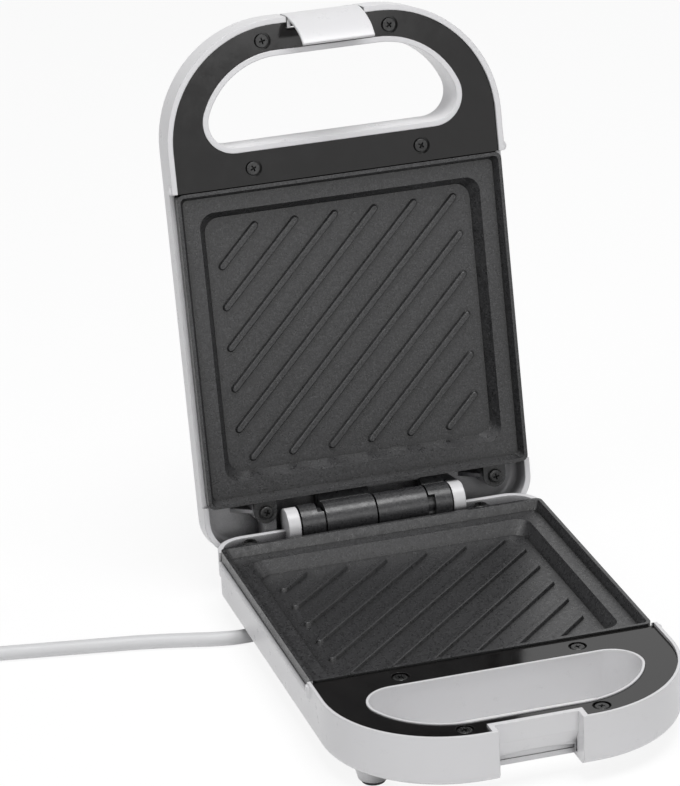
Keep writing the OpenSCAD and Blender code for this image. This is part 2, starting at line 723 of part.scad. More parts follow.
// Hinge bracket: a short and a long knuckle, a flange behind the plate, and the stops
module hinge_bracket() {
    color("#2c2c2d") difference() {
        union() {
            knuckle(-knuckle_end, -knuckle_split);
            knuckle(knuckle_gap / 2, long_knuckle + knuckle_gap / 2);
            // Stop tab at the outer end of the long knuckle, reaching into the other bracket's notch
            translate([long_knuckle, hinge_y, 0]) rotate([0, 90, 0])
                sector_ring(-tab_angle - tab_half, tab_half - tab_angle, notch_r + 0.4, barrel_r - 0.2, tab_l);
            // Flange with a bar along its top and a leg under each knuckle
            translate([-knuckle_end, tray_back, flange_top_z - flange_bar_h])
                cube([knuckle_end + long_knuckle, flange_t, flange_bar_h]);
            for (x = hinge_leg_xs()) translate([x - 4, tray_back, flange_leg_z])
                cube([8, flange_t, flange_top_z - flange_leg_z - 1]);
        }
        pin_bore(-ear_x1, 1);
        // Notch at the inner end of the short knuckle
        translate([-knuckle_split - notch_l, hinge_y, 0]) rotate([0, 90, 0])
            sector_ring(notch_start, notch_end, notch_r, barrel_r + 1, notch_l + 0.1);
        for (x = hinge_leg_xs()) translate([x, tray_back - 1, hinge_screw_z]) rotate([-90, 0, 0])
            cylinder(h = flange_t + 2, r = thread_r + thread_gap);
    }
}

module knuckle(x0, x1) {
    translate([x0, hinge_y, 0]) rotate([90, 0, 90]) linear_extrude(x1 - x0) {
        circle(barrel_r);
        polygon([
            [tray_back + 0.4 - hinge_y, flange_top_z], [tray_back + 0.4 - hinge_y, flange_top_z - flange_bar_h],
            [flange_t + tray_back - hinge_y, flange_top_z - flange_bar_h], [-2, 0.4 - barrel_r], [-3, 0],
            [-barrel_r + 1, flange_top_z + 3]
        ]);
    }
}

// Ring sector about the hinge axis; angles run from the handle side upward
module sector_ring(from, to, r0, r1, l) {
    rotate([0, 0, -90 - to]) rotate_extrude(angle = to - from)
        translate([r0, 0]) square([r1 - r0, l]);
}

module hinge_pin() {
    end_gap = 0.2;
    l = 2 * (ear_x1 - 1.2 - end_gap);
    color(steel) in_base() translate([-l / 2, hinge_y, 0]) rotate([0, 90, 0]) cylinder(h = l, r = pin_r);
}

module lid_shell() {
    color(white) turned_in_lid() difference() {
        union() {
            difference() {
                union() {
                    tray_form(0, -lid_d, lip_z, lid_back, lid_back_r, lid_edge_r);
                    wall_bump(wall_end - 1.6, lip_z - 0.8, 4);
                }
                tray_form(wall_t, lid_floor_z, 1, lid_back, lid_back_r, lid_edge_r - floor_t);
                side_cut(tray_back);
                translate([-half_w - 1, tray_back - 0.1, lid_lip_z])
                    cube([2 * half_w + 2, lid_back - tray_back + 2, 10]);
            }
            intersection() {
                union() {
                    shell_inside(lid_floor_z, lid_floor_z, lid_lip_w);
                    recess_walls(lid_d, panel_under_z - 0.1);
                    // Wall behind the plate, which carries the hinge bracket
                    translate([-rib_x1, tray_back - wall_t, lid_floor_z - 0.5])
                        cube([2 * rib_x1, wall_t, wall_top_z - lid_floor_z + 0.5]);
                    // Rib on the side of the base's ear
                    translate([rib_x0, plate_back + 0.2, lid_floor_z - 0.5])
                        cube([rib_x1 - rib_x0, lid_back - plate_back - 0.7, wall_top_z - lid_floor_z + 0.5]);
                    ear(lid_floor_z);
                    hinge_bosses();
                }
                tray_form(0.5, -lid_d, 10, lid_back, lid_back_r, lid_edge_r - 0.5);
            }
        }
        shell_cuts(lid_d, lid_lip_w);
        recess_mouth(lid_d);
        pin_bore(-ear_x1 + 1.2, 1);
        hinge_screw_bores();
        // Bore of the latch pin and the seats of the two lenses
        translate([-recess_half - wall_t - 1, latch_y, -latch_z]) rotate([0, 90, 0])
            cylinder(h = recess_w + 2 * wall_t + 2, r = latch_pin_r + pin_gap);
        for (x = lens_xs()) translate([x, lens_y, -lid_d - 1]) cylinder(h = floor_t + 2, r = lens_r + 0.1);
    }
}

function lens_xs() = [-8, 8];

module lens(x, tint) {
    dome = 0.8;
    color(tint) turned_in_lid() translate([x, lens_y, 0]) {
        translate([0, 0, -lid_d - dome]) cylinder(h = dome, r1 = lens_r - 0.6, r2 = lens_r);
        translate([0, 0, -lid_d]) cylinder(h = floor_t, r = lens_r);
        translate([0, 0, lid_floor_z]) cylinder(h = 1.2, r = lens_r + 0.9);
    }
}

module lamp(x) {
    color("lightyellow") turned_in_lid() translate([x, lens_y, lid_floor_z + 1.5]) {
        cylinder(h = 7, r = 2);
        translate([0, 0, 7]) cylinder(h = 2, r1 = 2, r2 = 1.2);
    }
}

// Latch, modelled in the closed lid: a curved plate with side cheeks, a barrel for its pin and a hook lip
module latch() {
    t = latch_t;
    face_y = front_y - 0.5;
    cheek_t = 1.3;
    tip_narrow = 0.8;
    tip_z = -2.3 * latch_z;
    color("white") in_lid() difference() {
        intersection() {
            union() {
                translate([-latch_half, 0, 0]) rotate([90, 0, 90]) linear_extrude(2 * latch_half) {
                    translate([latch_y, latch_z]) circle(latch_barrel_r);
                    latch_section(face_y, t);
                }
                for (x = [-latch_half, latch_half - cheek_t]) translate([x, 0, 0])
                    rotate([90, 0, 90]) linear_extrude(cheek_t) polygon([
                        [latch_y - 1, latch_z], [recess_back - 0.4, latch_z - 1.5], [recess_back - 0.4, -1],
                        [recess_back - 0.9, -6], [front_y + 2, -8], [face_y + 1, 0]
                    ]);
            }
            // Sides that draw in towards the tip
            translate([0, hook_y + t, 0]) rotate([90, 0, 0]) linear_extrude(recess_w) polygon([
                [-latch_half, 2 * latch_z], [-latch_half, latch_z], [tip_narrow - latch_half, tip_z],
                [latch_half - tip_narrow, tip_z], [latch_half, latch_z], [latch_half, 2 * latch_z]
            ]);
        }
        translate([-latch_half - 1, latch_y, latch_z]) rotate([0, 90, 0])
            cylinder(h = 2 * latch_half + 2, r = latch_pin_r + pin_gap);
    }
}

// Section of the latch plate from its barrel to its lip
module latch_section(face_y, t) {
    tip_t = t - 0.4;
    polygon([
        [latch_y, latch_z + latch_barrel_r], [face_y + 1.2, latch_z + latch_barrel_r - 0.6],
        [face_y + 0.2, latch_z + 0.6], [face_y, latch_z - 1], [face_y + 0.4, 3],
        [face_y + 1, -1.3], [face_y + 2.3, -6.3], [face_y + 4.5, -11], [face_y + 6.9, -14.4],
        [face_y + 9.3, -16.8], [face_y + 10.4, -15.8],
        [face_y + 8, -14.1], [face_y + 4.5 + tip_t, -10],
        [face_y + 2.3 + t, -5.6], [face_y + 1 + t, -0.9], [face_y + 0.4 + t, 3.2], [latch_y - 0.2, latch_z - 1.6]
    ]);
}

module latch_pin() {
    l = recess_w + 2 * wall_t - 0.6;
    color(steel) in_lid() translate([-l / 2, latch_y, latch_z]) rotate([0, 90, 0])
        cylinder(h = l, r = latch_pin_r);
}

module base_panel_screws() {
    color(black) in_base() at_panel_screws() translate([0, 0, panel_z - head_h]) screw(head_h - 0.2, thread_l);
}

module lid_panel_screws() {
    color(black) turned_in_lid() at_panel_screws() translate([0, 0, panel_z - head_h]) screw(head_h - 0.2, thread_l);
}

module base_plate_screws() {
    color(black) in_base() at_back_screws() translate([0, 0, lug_z]) screw(back_head_h, thread_l);
}

module lid_plate_screws() {
    color(black) turned_in_lid() at_back_screws() translate([0, 0, lug_z]) screw(back_head_h, thread_l);
}

module hinge_screws() {
    color(steel) for (x = hinge_leg_xs()) translate([x, tray_back + flange_t, hinge_screw_z]) rotate([-90, 0, 0])
        screw(head_h, thread_l - 0.5);
}

module foot_pads() {
    color(black) for (x = [-1, 1]) for (y = [-1, 1]) translate([x * foot_x, feet_y + y * foot_y, 0])
        cylinder(h = pad_h + 0.3, r = pad_r);
}

// Thermostat in the bar behind the handle hole, with a blade that feels the plate
module thermostat() {
    color("beige") in_base() {
        translate([-12, thermostat_y(), base_floor_z + 0.3]) cube([20, 6.5, 7]);
        translate([-8, thermostat_y() + 1, base_floor_z + 7.2]) cube([12, 4.5, 1.2]);
    }
}

function thermostat_y() = hole_back + wall_t - base_lip_w + 0.6;

module thermal_fuse() {
    fuse_r = 2;
    body_l = 12;
    lead_r = 0.5;
    lead_l = 4;
    color("khaki") in_base() translate([13, thermostat_y() + 3, base_floor_z + fuse_r + 0.3]) rotate([0, 90, 0]) {
        cylinder(h = body_l, r = fuse_r);
        translate([0, 0, -lead_l]) cylinder(h = body_l + 2 * lead_l, r = lead_r);
    }
}

module terminal_block() {
    block = [14, 6.5, 7.5];
    way_n = 3;
    way_r = 1.1;
    color("ivory") in_base() translate([-28, thermostat_y(), base_floor_z + 0.3]) difference() {
        cube(block);
        for (i = [0 : way_n - 1]) translate([block[0] * (i + 0.5) / way_n, -1, block[2] / 2]) rotate([-90, 0, 0])
            cylinder(h = block[1] + 2, r = way_r);
    }
}

// Tapered boot from the tray's back wall to where the cord is free
module cord_boot() {
    flange = 1.6;
    color(white) {
        translate([boot_x, boot_y, parting_z + boot_z]) rotate([-90 - boot_tilt, 0, 0])
            cylinder(h = boot_l, r1 = boot_r, r2 = boot_end_r);
        translate([boot_x, boot_y + 0.4, parting_z + boot_z]) rotate([90, 0, 0])
            cylinder(h = boot_y - tray_back + wall_t + flange, r = boot_r - 0.7);
    }
}

// Unit vectors, and a tube swept through points with a ring at each
function unit(v) = v / norm(v);
function heading(points, i) = unit(points[min(i + 1, len(points) - 1)] - points[max(i - 1, 0)]);
function side_of(d) = unit(cross([0, 0, 1], d));

module tube(points, r, sides) {
    rings = [
        for (i = [0 : len(points) - 1]) let (d = heading(points, i), s = side_of(d), u = cross(d, s))
            for (k = [0 : sides - 1]) points[i] + r * (cos(360 * k / sides) * s + sin(360 * k / sides) * u)
    ];
    last = (len(points) - 1) * sides;
    walls = [
        for (i = [0 : len(points) - 2]) for (k = [0 : sides - 1]) let (a = i * sides + k, b = i * sides + (k + 1) % sides)
            each [[a, b, b + sides], [a, b + sides, a + sides]]
    ];
    polyhedron(rings, concat([[for (k = [sides - 1 : -1 : 0]) k]], walls, [[for (k = [0 : sides - 1]) last + k]]));
}

module cord() {
    color(white) tube(cord_route, cord_r, 10);
}

module cord_coil() {
    color(white) translate([coil_x, coil_y, tie_t]) rotate_extrude()
        for (i = [0 : coil_turns - 1]) translate([coil_r, cord_r + i * cord_d]) circle(cord_r + turn_bite);
}

// Flat band round the bundle of turns
module cord_tie() {
    band_w = 6;
    side_gap_t = 0.3;
    color("#404040") translate([coil_x + coil_r, coil_y, 0]) rotate([90, 0, 0]) linear_extrude(band_w, center = true)
        difference() {
            translate([-cord_r - side_gap_t - tie_t, 0])
                square([cord_d + 2 * (side_gap_t + tie_t), coil_h + 2 * tie_t + 0.1]);
            translate([-cord_r - side_gap_t, tie_t - turn_bite])
                square([cord_d + 2 * side_gap_t, coil_h + 2 * turn_bite]);
        }
}

module cord_tail() {
    color(white) tube(tail_route, cord_r, 10);
}

// Moulded plug: a tapering grip and a flat-sided head
module plug_body() {
    color(white) translate([tail_x, plug_y, plug_z]) rotate([-90, 0, 0]) {
        cylinder(h = plug_grip_l, r1 = 4.2, r2 = 9);
        translate([0, 0, plug_grip_l - 2]) intersection() {
            cylinder(h = plug_head_l, r = plug_half_w);
            translate([-plug_half_w, -plug_z, 0]) cube([2 * plug_half_w, 2 * plug_z, plug_head_l]);
        }
    }
}

module plug_pins() {
    pin_x = 9.5;
    plug_pin_r = 2.4;
    plug_pin_l = 19;
    face_y = plug_y + plug_grip_l + plug_head_l - 2;
    color(steel) for (side = [-1, 1]) translate([tail_x + side * pin_x, face_y, plug_z]) rotate([-90, 0, 0])
        cylinder(h = plug_pin_l, r = plug_pin_r);
}

base_shell();
in_base() panel(base_rim_w, wall_t);  // base_panel
in_base() plate();  // lower_plate
in_base() element();  // lower_element
in_base() reflector();  // lower_reflector
base_panel_screws();
base_plate_screws();
in_base() hinge_screws();  // base_hinge_screws
foot_pads();
in_base() hinge_bracket();  // base_hinge
hinge_pin();
thermostat();
thermal_fuse();
terminal_block();
cord_boot();
cord();
cord_coil();
cord_tie();
cord_tail();
plug_body();
plug_pins();
lid_shell();
turned_in_lid() panel(wall_t, 0);  // lid_panel
turned_in_lid() plate();  // upper_plate
turned_in_lid() element();  // upper_element
turned_in_lid() reflector();  // upper_reflector
lid_panel_screws();
lid_plate_screws();
turned_in_lid() hinge_screws();  // lid_hinge_screws
turned_in_lid() hinge_bracket();  // lid_hinge
lens(lens_xs()[0], "red");  // power_lens
lens(lens_xs()[1], "green");  // ready_lens
lamp(lens_xs()[0]);  // power_lamp
lamp(lens_xs()[1]);  // ready_lamp
latch();
latch_pin();
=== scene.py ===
from math import atan2, cos, pi, radians, sin

import bpy
from mathutils import Matrix, Vector


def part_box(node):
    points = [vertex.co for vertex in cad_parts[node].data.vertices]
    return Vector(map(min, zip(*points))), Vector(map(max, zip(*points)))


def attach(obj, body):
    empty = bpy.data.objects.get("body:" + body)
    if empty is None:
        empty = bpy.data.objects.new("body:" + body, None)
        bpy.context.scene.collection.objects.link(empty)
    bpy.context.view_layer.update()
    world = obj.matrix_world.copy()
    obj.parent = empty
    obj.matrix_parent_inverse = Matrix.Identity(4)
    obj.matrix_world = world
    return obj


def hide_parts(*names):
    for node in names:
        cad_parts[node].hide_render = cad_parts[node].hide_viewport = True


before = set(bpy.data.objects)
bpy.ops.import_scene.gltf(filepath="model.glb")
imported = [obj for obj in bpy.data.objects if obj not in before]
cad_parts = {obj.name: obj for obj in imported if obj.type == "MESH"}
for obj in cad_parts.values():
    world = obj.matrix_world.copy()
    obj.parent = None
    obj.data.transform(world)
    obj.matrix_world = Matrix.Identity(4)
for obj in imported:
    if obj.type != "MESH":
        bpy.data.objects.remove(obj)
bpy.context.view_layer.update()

mm = 0.001

# Places shared with the solids, in metres
parting_z = 0.026
feet_y = -0.023065
hinge_y = feet_y + 0.09284
lid_angle = radians(100.9)


def turned_about(point, angle, axis):
    """A turn about the line through the point along that axis."""
    return Matrix.Translation(point) @ Matrix.Rotation(angle, 4, axis) @ Matrix.Translation([-c for c in point])


turned_over = turned_about((0, 0, parting_z), pi, "Y")
swung_open = turned_about((0, hinge_y, parting_z), -lid_angle, "X")
lid_place = swung_open @ turned_over


# Camera: the view of the photograph, found from the screws, the plates and the hinge
def place_camera():
    azimuth, elevation, roll = radians(-15.89), radians(22.12), radians(-2.59)
    stand = (-0.40078, feet_y - 1.27575, 0.65527)
    focal_px, picture_h, sensor = 4061.07, 786, 36
    back = Vector((sin(azimuth) * cos(elevation), -cos(azimuth) * cos(elevation), sin(elevation)))
    level_right = (-back).cross(Vector((0, 0, 1))).normalized()
    level_up = level_right.cross(-back)
    right = level_right * cos(roll) + level_up * sin(roll)
    up = level_up * cos(roll) - level_right * sin(roll)
    lens = bpy.data.cameras.new("view")
    lens.sensor_width = sensor
    lens.lens = focal_px * sensor / picture_h
    lens.clip_start = 0.05
    lens.clip_end = 50
    camera = bpy.data.objects.new("view", lens)
    bpy.context.scene.collection.objects.link(camera)
    place = Matrix((right, up, back)).transposed().to_4x4()
    place.translation = stand
    camera.matrix_world = place
    bpy.context.scene.camera = camera


place_camera()

# Course of the cord in millimetres: X, Y from the middle of the feet, and the height of its underside
cord_d = 5.4
cord_r = cord_d / 2
coil_x, coil_y, coil_r, tie_t = -188, 107, 30, 0.6
back_wall_y = 82.4
boot_x, boot_z, boot_r, boot_l = -6, 13.2, 3.6, 22
boot_tilt = radians(12)
boot_y = back_wall_y + boot_r * sin(boot_tilt) + 0.05
boot_end = (boot_x, boot_y + boot_l * cos(boot_tilt), boot_z - boot_l * sin(boot_tilt))
cord_course = [
    (-6, 112, 4.2), (-6, 120, 2.5), (-6.5, 128, 0.7), (-9, 137, 0), (-14.5, 144.5, 0),
    (-23, 148.5, 0), (-32.5, 148, 0), (-41, 143.5, 0), (-47, 136, 0), (-49.5, 127, 0),
    (-49, 117, 0), (-46.5, 107, 0), (-43.5, 97, 0), (-41, 87, 0), (-40.5, 77, 0),
    (-42, 67.5, 0), (-47, 59.5, 0), (-54.5, 54, 0), (-64, 52, 0), (-74, 53.5, 0),
    (-84, 56.5, 0), (-94, 59.5, 0), (-104, 62, 0), (-114, 64, 0), (-124, 66, 0),
    (-134, 68, 0), (-144, 70, 0), (-154, 72, 0), (-164, 74, 0), (-175, 76, 0.3),
]
turn_step, last_turn, climb_from = 22.5, 810, 90
tail_steps = 8
tail_x = coil_x - coil_r
plug_y, plug_z, tail_sag = coil_y + 46, 12, 3


def coil_height(turned):
    """Height of the turns: each turn climbs over the start of the one below it."""
    whole, part = divmod(turned, 360)
    return tie_t + cord_r + cord_d * (whole + max(0, part - climb_from) / (360 - climb_from))


def cord_points():
    points = [boot_end] + [(x, y, z + cord_r) for x, y, z in cord_course]
    turned = 0
    while turned <= last_turn:
        a = radians(-90 - turned)
        points.append((coil_x + coil_r * cos(a), coil_y + coil_r * sin(a), coil_height(turned)))
        turned += turn_step
    top = points[-1][2]
    for i in range(1, tail_steps + 1):
        a = pi * i / tail_steps
        z = top + (plug_z - top) * (1 - cos(a)) / 2 - tail_sag * sin(a) ** 2
        points.append((tail_x, coil_y + (plug_y - coil_y) * i / tail_steps, z))
    return [Vector((0, feet_y, 0)) + Vector(p) * mm for p in points]


def lay_cord():
    points = cord_points()
    line = bpy.data.curves.new("mains_cord", "CURVE")
    line.dimensions = "3D"
    line.resolution_u = 5
    line.bevel_depth = cord_r * mm
    line.bevel_resolution = 6
    line.use_fill_caps = True
    spline = line.splines.new("BEZIER")
    spline.bezier_points.add(len(points) - 1)
    for knot, place in zip(spline.bezier_points, points):
        knot.co = place
        knot.handle_left_type = knot.handle_right_type = "AUTO"
    piece = bpy.data.objects.new("mains_cord", line)
    bpy.context.scene.collection.objects.link(piece)
    return piece


cord = lay_cord()


# Modelling helpers
def pick(piece):
    bpy.ops.object.select_all(action="DESELECT")
    piece.select_set(True)
    bpy.context.view_layer.objects.active = piece


def finish_with(piece, kind, **settings):
    """Adds a modifier of that kind with these settings, and applies it."""
    pick(piece)
    modifier = piece.modifiers.new(kind.lower(), kind)
    for key, value in settings.items():
        setattr(modifier, key, value)
    bpy.ops.object.modifier_apply(modifier=modifier.name)


def shade(piece, angle=35):
    """Smooth, with the flat faces kept flat up to their rounded edges."""
    pick(piece)
    bpy.ops.object.shade_smooth_by_angle(angle=radians(angle))
    finish_with(piece, "WEIGHTED_NORMAL", keep_sharp=True, weight=80)


def settle(piece):
    """Puts the piece's place into its mesh."""
    pick(piece)
    bpy.ops.object.transform_apply(location=True, rotation=True, scale=True)


def join(pieces, name):
    bpy.ops.object.select_all(action="DESELECT")
    for piece in pieces:
        piece.select_set(True)
    bpy.context.view_layer.objects.active = pieces[0]
    if len(pieces) > 1:
        bpy.ops.object.join()
    pieces[0].name = name
    return pieces[0]


def copy_at(piece, place):
    """A copy with its own mesh, moved by the matrix."""
    twin = piece.copy()
    twin.data = piece.data.copy()
    bpy.context.scene.collection.objects.link(twin)
    twin.data.transform(place)
    return twin


def select_where(piece, faces=None, edges=None):
    """In edit mode, selects the faces or edges for which the test is true."""
    bpy.ops.object.mode_set(mode="OBJECT")
    bpy.context.tool_settings.mesh_select_mode = (False, bool(edges), bool(faces))
    mesh = piece.data
    for vertex in mesh.vertices:
        vertex.select = False
    for edge in mesh.edges:
        edge.select = bool(edges) and edges(edge)
    for face in mesh.polygons:
        face.select = bool(faces) and faces(face)
    bpy.ops.object.mode_set(mode="EDIT")


def block(low, high, name="block"):
    """A box between two corners, given in millimetres."""
    bpy.ops.object.select_all(action="DESELECT")
    middle = [(a + b) / 2 * mm for a, b in zip(low, high)]
    bpy.ops.mesh.primitive_cube_add(size=1, location=middle)
    piece = bpy.context.active_object
    piece.scale = [(b - a) * mm for a, b in zip(low, high)]
    settle(piece)
    piece.name = name
    return piece


def slab(half_x, half_y, low, high):
    """A box about the middle, in millimetres."""
    return block((-half_x, -half_y, low), (half_x, half_y, high))


def peg(x, y, radius, low, high, sides=48):
    """An upright cylinder, in millimetres."""
    bpy.ops.object.select_all(action="DESELECT")
    bpy.ops.mesh.primitive_cylinder_add(vertices=sides, radius=radius * mm, depth=(high - low) * mm,
                                        location=(x * mm, y * mm, (low + high) / 2 * mm))
    piece = bpy.context.active_object
    settle(piece)
    return piece


def bar_along(radius, y, z, half, sides=48):
    """A round bar along X, in millimetres."""
    bpy.ops.object.select_all(action="DESELECT")
    bpy.ops.mesh.primitive_cylinder_add(vertices=sides, radius=radius * mm, depth=2 * half * mm,
                                        location=(0, y * mm, z * mm), rotation=(0, pi / 2, 0))
    piece = bpy.context.active_object
    settle(piece)
    return piece


def extrude(x, y, z):
    """Extrudes the selection by that step, in millimetres."""
    bpy.ops.mesh.extrude_region_move(TRANSFORM_OT_translate={"value": (x * mm, y * mm, z * mm)})


def is_upright(piece, edge):
    """True for an edge that rises more steeply than a moulding's sloping edges do."""
    a, b = (piece.data.vertices[i].co for i in edge.vertices)
    return abs(a.z - b.z) > 0.6 * (a - b).length


def round_corners(piece, radius, steps, where=None):
    """Rounds the upright edges, all of them or those for which the test on their middle is true."""
    def chosen(edge):
        a, b = (piece.data.vertices[i].co for i in edge.vertices)
        return is_upright(piece, edge) and (where is None or where((a + b) / 2))
    select_where(piece, edges=chosen)
    bpy.ops.mesh.bevel(offset=radius * mm, segments=steps, affect="EDGES", clamp_overlap=False)
    bpy.ops.object.mode_set(mode="OBJECT")


def scale_level(piece, height, x_ratio, y_ratio):
    """Draws in or widens the faces that lie at that height, in millimetres, about the middle."""
    select_where(piece, faces=lambda f: abs(f.center.z - height * mm) < 0.01 * mm and abs(f.normal.z) > 0.9)
    bpy.ops.transform.resize(value=(x_ratio, y_ratio, 1), center_override=(0, 0, 0))
    bpy.ops.object.mode_set(mode="OBJECT")


def cut(piece, *cutters):
    for cutter in cutters:
        finish_with(piece, "BOOLEAN", operation="DIFFERENCE", solver="EXACT", object=cutter)
        bpy.data.objects.remove(cutter)


def unite(piece, *others):
    for other in others:
        finish_with(piece, "BOOLEAN", operation="UNION", solver="EXACT", object=other)
        bpy.data.objects.remove(other)


def trace_half(start, moves, low, high):
    """A closed prism, symmetrical in X. An upright edge is drawn from the start through the moves, each of them
    ("to", x, y) or ("round", middle x, middle y, degrees, steps), then mirrored and closed above and below."""
    tall = (high - low) * mm
    bpy.ops.object.select_all(action="DESELECT")
    bpy.ops.mesh.primitive_plane_add(size=tall, rotation=(0, pi / 2, 0),
                                     location=(start[0] * mm, start[1] * mm + tall / 2, low * mm + tall / 2))
    piece = bpy.context.active_object
    settle(piece)
    near = start[1] * mm + tall / 2
    bpy.ops.object.mode_set(mode="EDIT")
    bpy.ops.mesh.select_mode(type="VERT")
    bpy.ops.object.mode_set(mode="OBJECT")
    for vertex in piece.data.vertices:
        vertex.select = vertex.co.y > near
    for edge in piece.data.edges:
        edge.select = False
    for face in piece.data.polygons:
        face.select = False
    bpy.ops.object.mode_set(mode="EDIT")
    bpy.ops.mesh.delete(type="VERT")
    bpy.ops.mesh.select_all(action="SELECT")
    at = Vector((start[0], start[1]))
    for kind, x, y, *turn in moves:
        if kind == "to":
            extrude(x - at.x, y - at.y, 0)
            at = Vector((x, y))
        else:
            degrees, steps = turn
            bpy.ops.mesh.spin(steps=steps, angle=radians(degrees), center=(x * mm, y * mm, 0), axis=(0, 0, -1))
            at = Vector((x, y)) + Matrix.Rotation(radians(degrees), 2) @ (at - Vector((x, y)))
    bpy.ops.mesh.select_all(action="SELECT")
    bpy.ops.mesh.duplicate()
    bpy.ops.transform.resize(value=(-1, 1, 1), center_override=(0, 0, 0))
    bpy.ops.mesh.select_all(action="SELECT")
    bpy.ops.mesh.remove_doubles(threshold=0.01 * mm)
    bpy.ops.mesh.select_mode(type="EDGE")
    for height in (low, high):
        select_where(piece, edges=lambda e: all(abs(piece.data.vertices[i].co.z - height * mm) < 0.01 * mm
                                                for i in e.vertices))
        bpy.ops.mesh.edge_face_add()
    bpy.ops.mesh.select_all(action="SELECT")
    bpy.ops.mesh.normals_make_consistent(inside=False)
    bpy.ops.object.mode_set(mode="OBJECT")
    return piece


def dressed(node, name, edge, steps):
    """The solid's own surface as one skin with its edges rounded, to stand for that node."""
    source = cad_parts[node]
    mesh = source.data.copy()
    piece = bpy.data.objects.new(name, mesh)
    bpy.context.scene.collection.objects.link(piece)
    mesh.materials.clear()
    pick(piece)
    bpy.ops.mesh.customdata_custom_splitnormals_clear()
    bpy.ops.object.mode_set(mode="EDIT")
    bpy.ops.mesh.select_all(action="SELECT")
    bpy.ops.mesh.remove_doubles(threshold=0.002 * mm)
    bpy.ops.mesh.dissolve_limited(angle_limit=radians(0.2))
    bpy.ops.object.mode_set(mode="OBJECT")
    finish_with(piece, "BEVEL", width=edge * mm, segments=steps, limit_method="ANGLE",
                angle_limit=radians(30), use_clamp_overlap=True, miter_outer="MITER_ARC", loop_slide=True)
    shade(piece)
    return piece


def place_piece(piece, body, material, slot, *nodes):
    piece.data.materials.clear()
    piece.data.materials.append(material)
    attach(piece, body)
    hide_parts(*nodes)


# Shared effects for the finishes
def tone(r, g=None, b=None):
    """A colour, grey when only one share is given."""
    return (r, r if g is None else g, r if b is None else b, 1)


def effect(name, inputs):
    """A node group that makes colour, roughness and height from a place and these inputs, with its end nodes."""
    group = bpy.data.node_groups.new(name, "ShaderNodeTree")
    kinds = {"value": "NodeSocketFloat", "colour": "NodeSocketColor", "vector": "NodeSocketVector"}
    group.interface.new_socket("Place", in_out="INPUT", socket_type=kinds["vector"])
    for label, kind, start in inputs:
        socket = group.interface.new_socket(label, in_out="INPUT", socket_type=kinds[kind])
        socket.default_value = start
    for label, kind in (("Color", "colour"), ("Roughness", "value"), ("Height", "value")):
        group.interface.new_socket(label, in_out="OUTPUT", socket_type=kinds[kind])
    return group, group.nodes.new("NodeGroupInput"), group.nodes.new("NodeGroupOutput")


def feed(tree, socket, value):
    """Links a socket to another one, or sets it to a number or colour."""
    if isinstance(value, (int, float, tuple)):
        socket.default_value = value
    else:
        tree.links.new(value, socket)


def noise(tree, place, scale, detail, rough=0.5):
    node = tree.nodes.new("ShaderNodeTexNoise")
    for label, value in (("Vector", place), ("Scale", scale), ("Detail", detail), ("Roughness", rough)):
        feed(tree, node.inputs[label], value)
    return node.outputs["Fac"]


def spread(tree, value, low, high, to_low=0.0, to_high=1.0):
    """Maps low..high of a value to to_low..to_high."""
    node = tree.nodes.new("ShaderNodeMapRange")
    limits = (("From Min", low), ("From Max", high), ("To Min", to_low), ("To Max", to_high))
    for label, given in (("Value", value), *limits):
        feed(tree, node.inputs[label], given)
    return node.outputs["Result"]


def blend_colour(tree, factor, first, second):
    node = tree.nodes.new("ShaderNodeMix")
    node.data_type = "RGBA"
    feed(tree, node.inputs["Factor"], factor)
    for label, colour in (("A", first), ("B", second)):
        feed(tree, [s for s in node.inputs if s.name == label and s.type == "RGBA"][0], colour)
    return [s for s in node.outputs if s.type == "RGBA"][0]


def reckon(tree, operation, first, second):
    node = tree.nodes.new("ShaderNodeMath")
    node.operation = operation
    for socket, value in zip(node.inputs, (first, second)):
        feed(tree, socket, value)
    return node.outputs[0]


def add_shares(tree, first, first_share, second, second_share):
    return reckon(tree, "ADD", reckon(tree, "MULTIPLY", first, first_share),
                  reckon(tree, "MULTIPLY", second, second_share))


def give_finish(group, given, out, colour, marks, low, high, height):
    """Joins a finish's outputs. Marks from low to high make it as rough as its two gloss limits say."""
    rough = spread(group, marks, low, high, given.outputs["Gloss Low"], given.outputs["Gloss High"])
    for label, value in (("Color", colour), ("Roughness", rough), ("Height", height)):
        feed(group, out.inputs[label], value)
    return group


def moulded_skin():
    """Injection-moulded plastic: a faint tone drift, a fine satin texture and handling marks."""
    group, given, out = effect("moulded_skin", [
        ("Tone", "colour", tone(0.8)), ("Worn Tone", "colour", tone(0.75, 0.75, 0.74)),
        ("Grain Scale", "value", 1400.0), ("Gloss Low", "value", 0.25), ("Gloss High", "value", 0.4)])
    place = given.outputs["Place"]
    drift = noise(group, place, 28.0, 3.0)
    flow = noise(group, place, 170.0, 2.0)
    grain = noise(group, place, given.outputs["Grain Scale"], 2.0)
    colour = blend_colour(group, spread(group, drift, 0.35, 0.7), given.outputs["Tone"], given.outputs["Worn Tone"])
    marks = add_shares(group, flow, 0.6, grain, 0.4)
    return give_finish(group, given, out, colour, marks, 0.3, 0.7, add_shares(group, flow, 0.12, grain, 0.88))


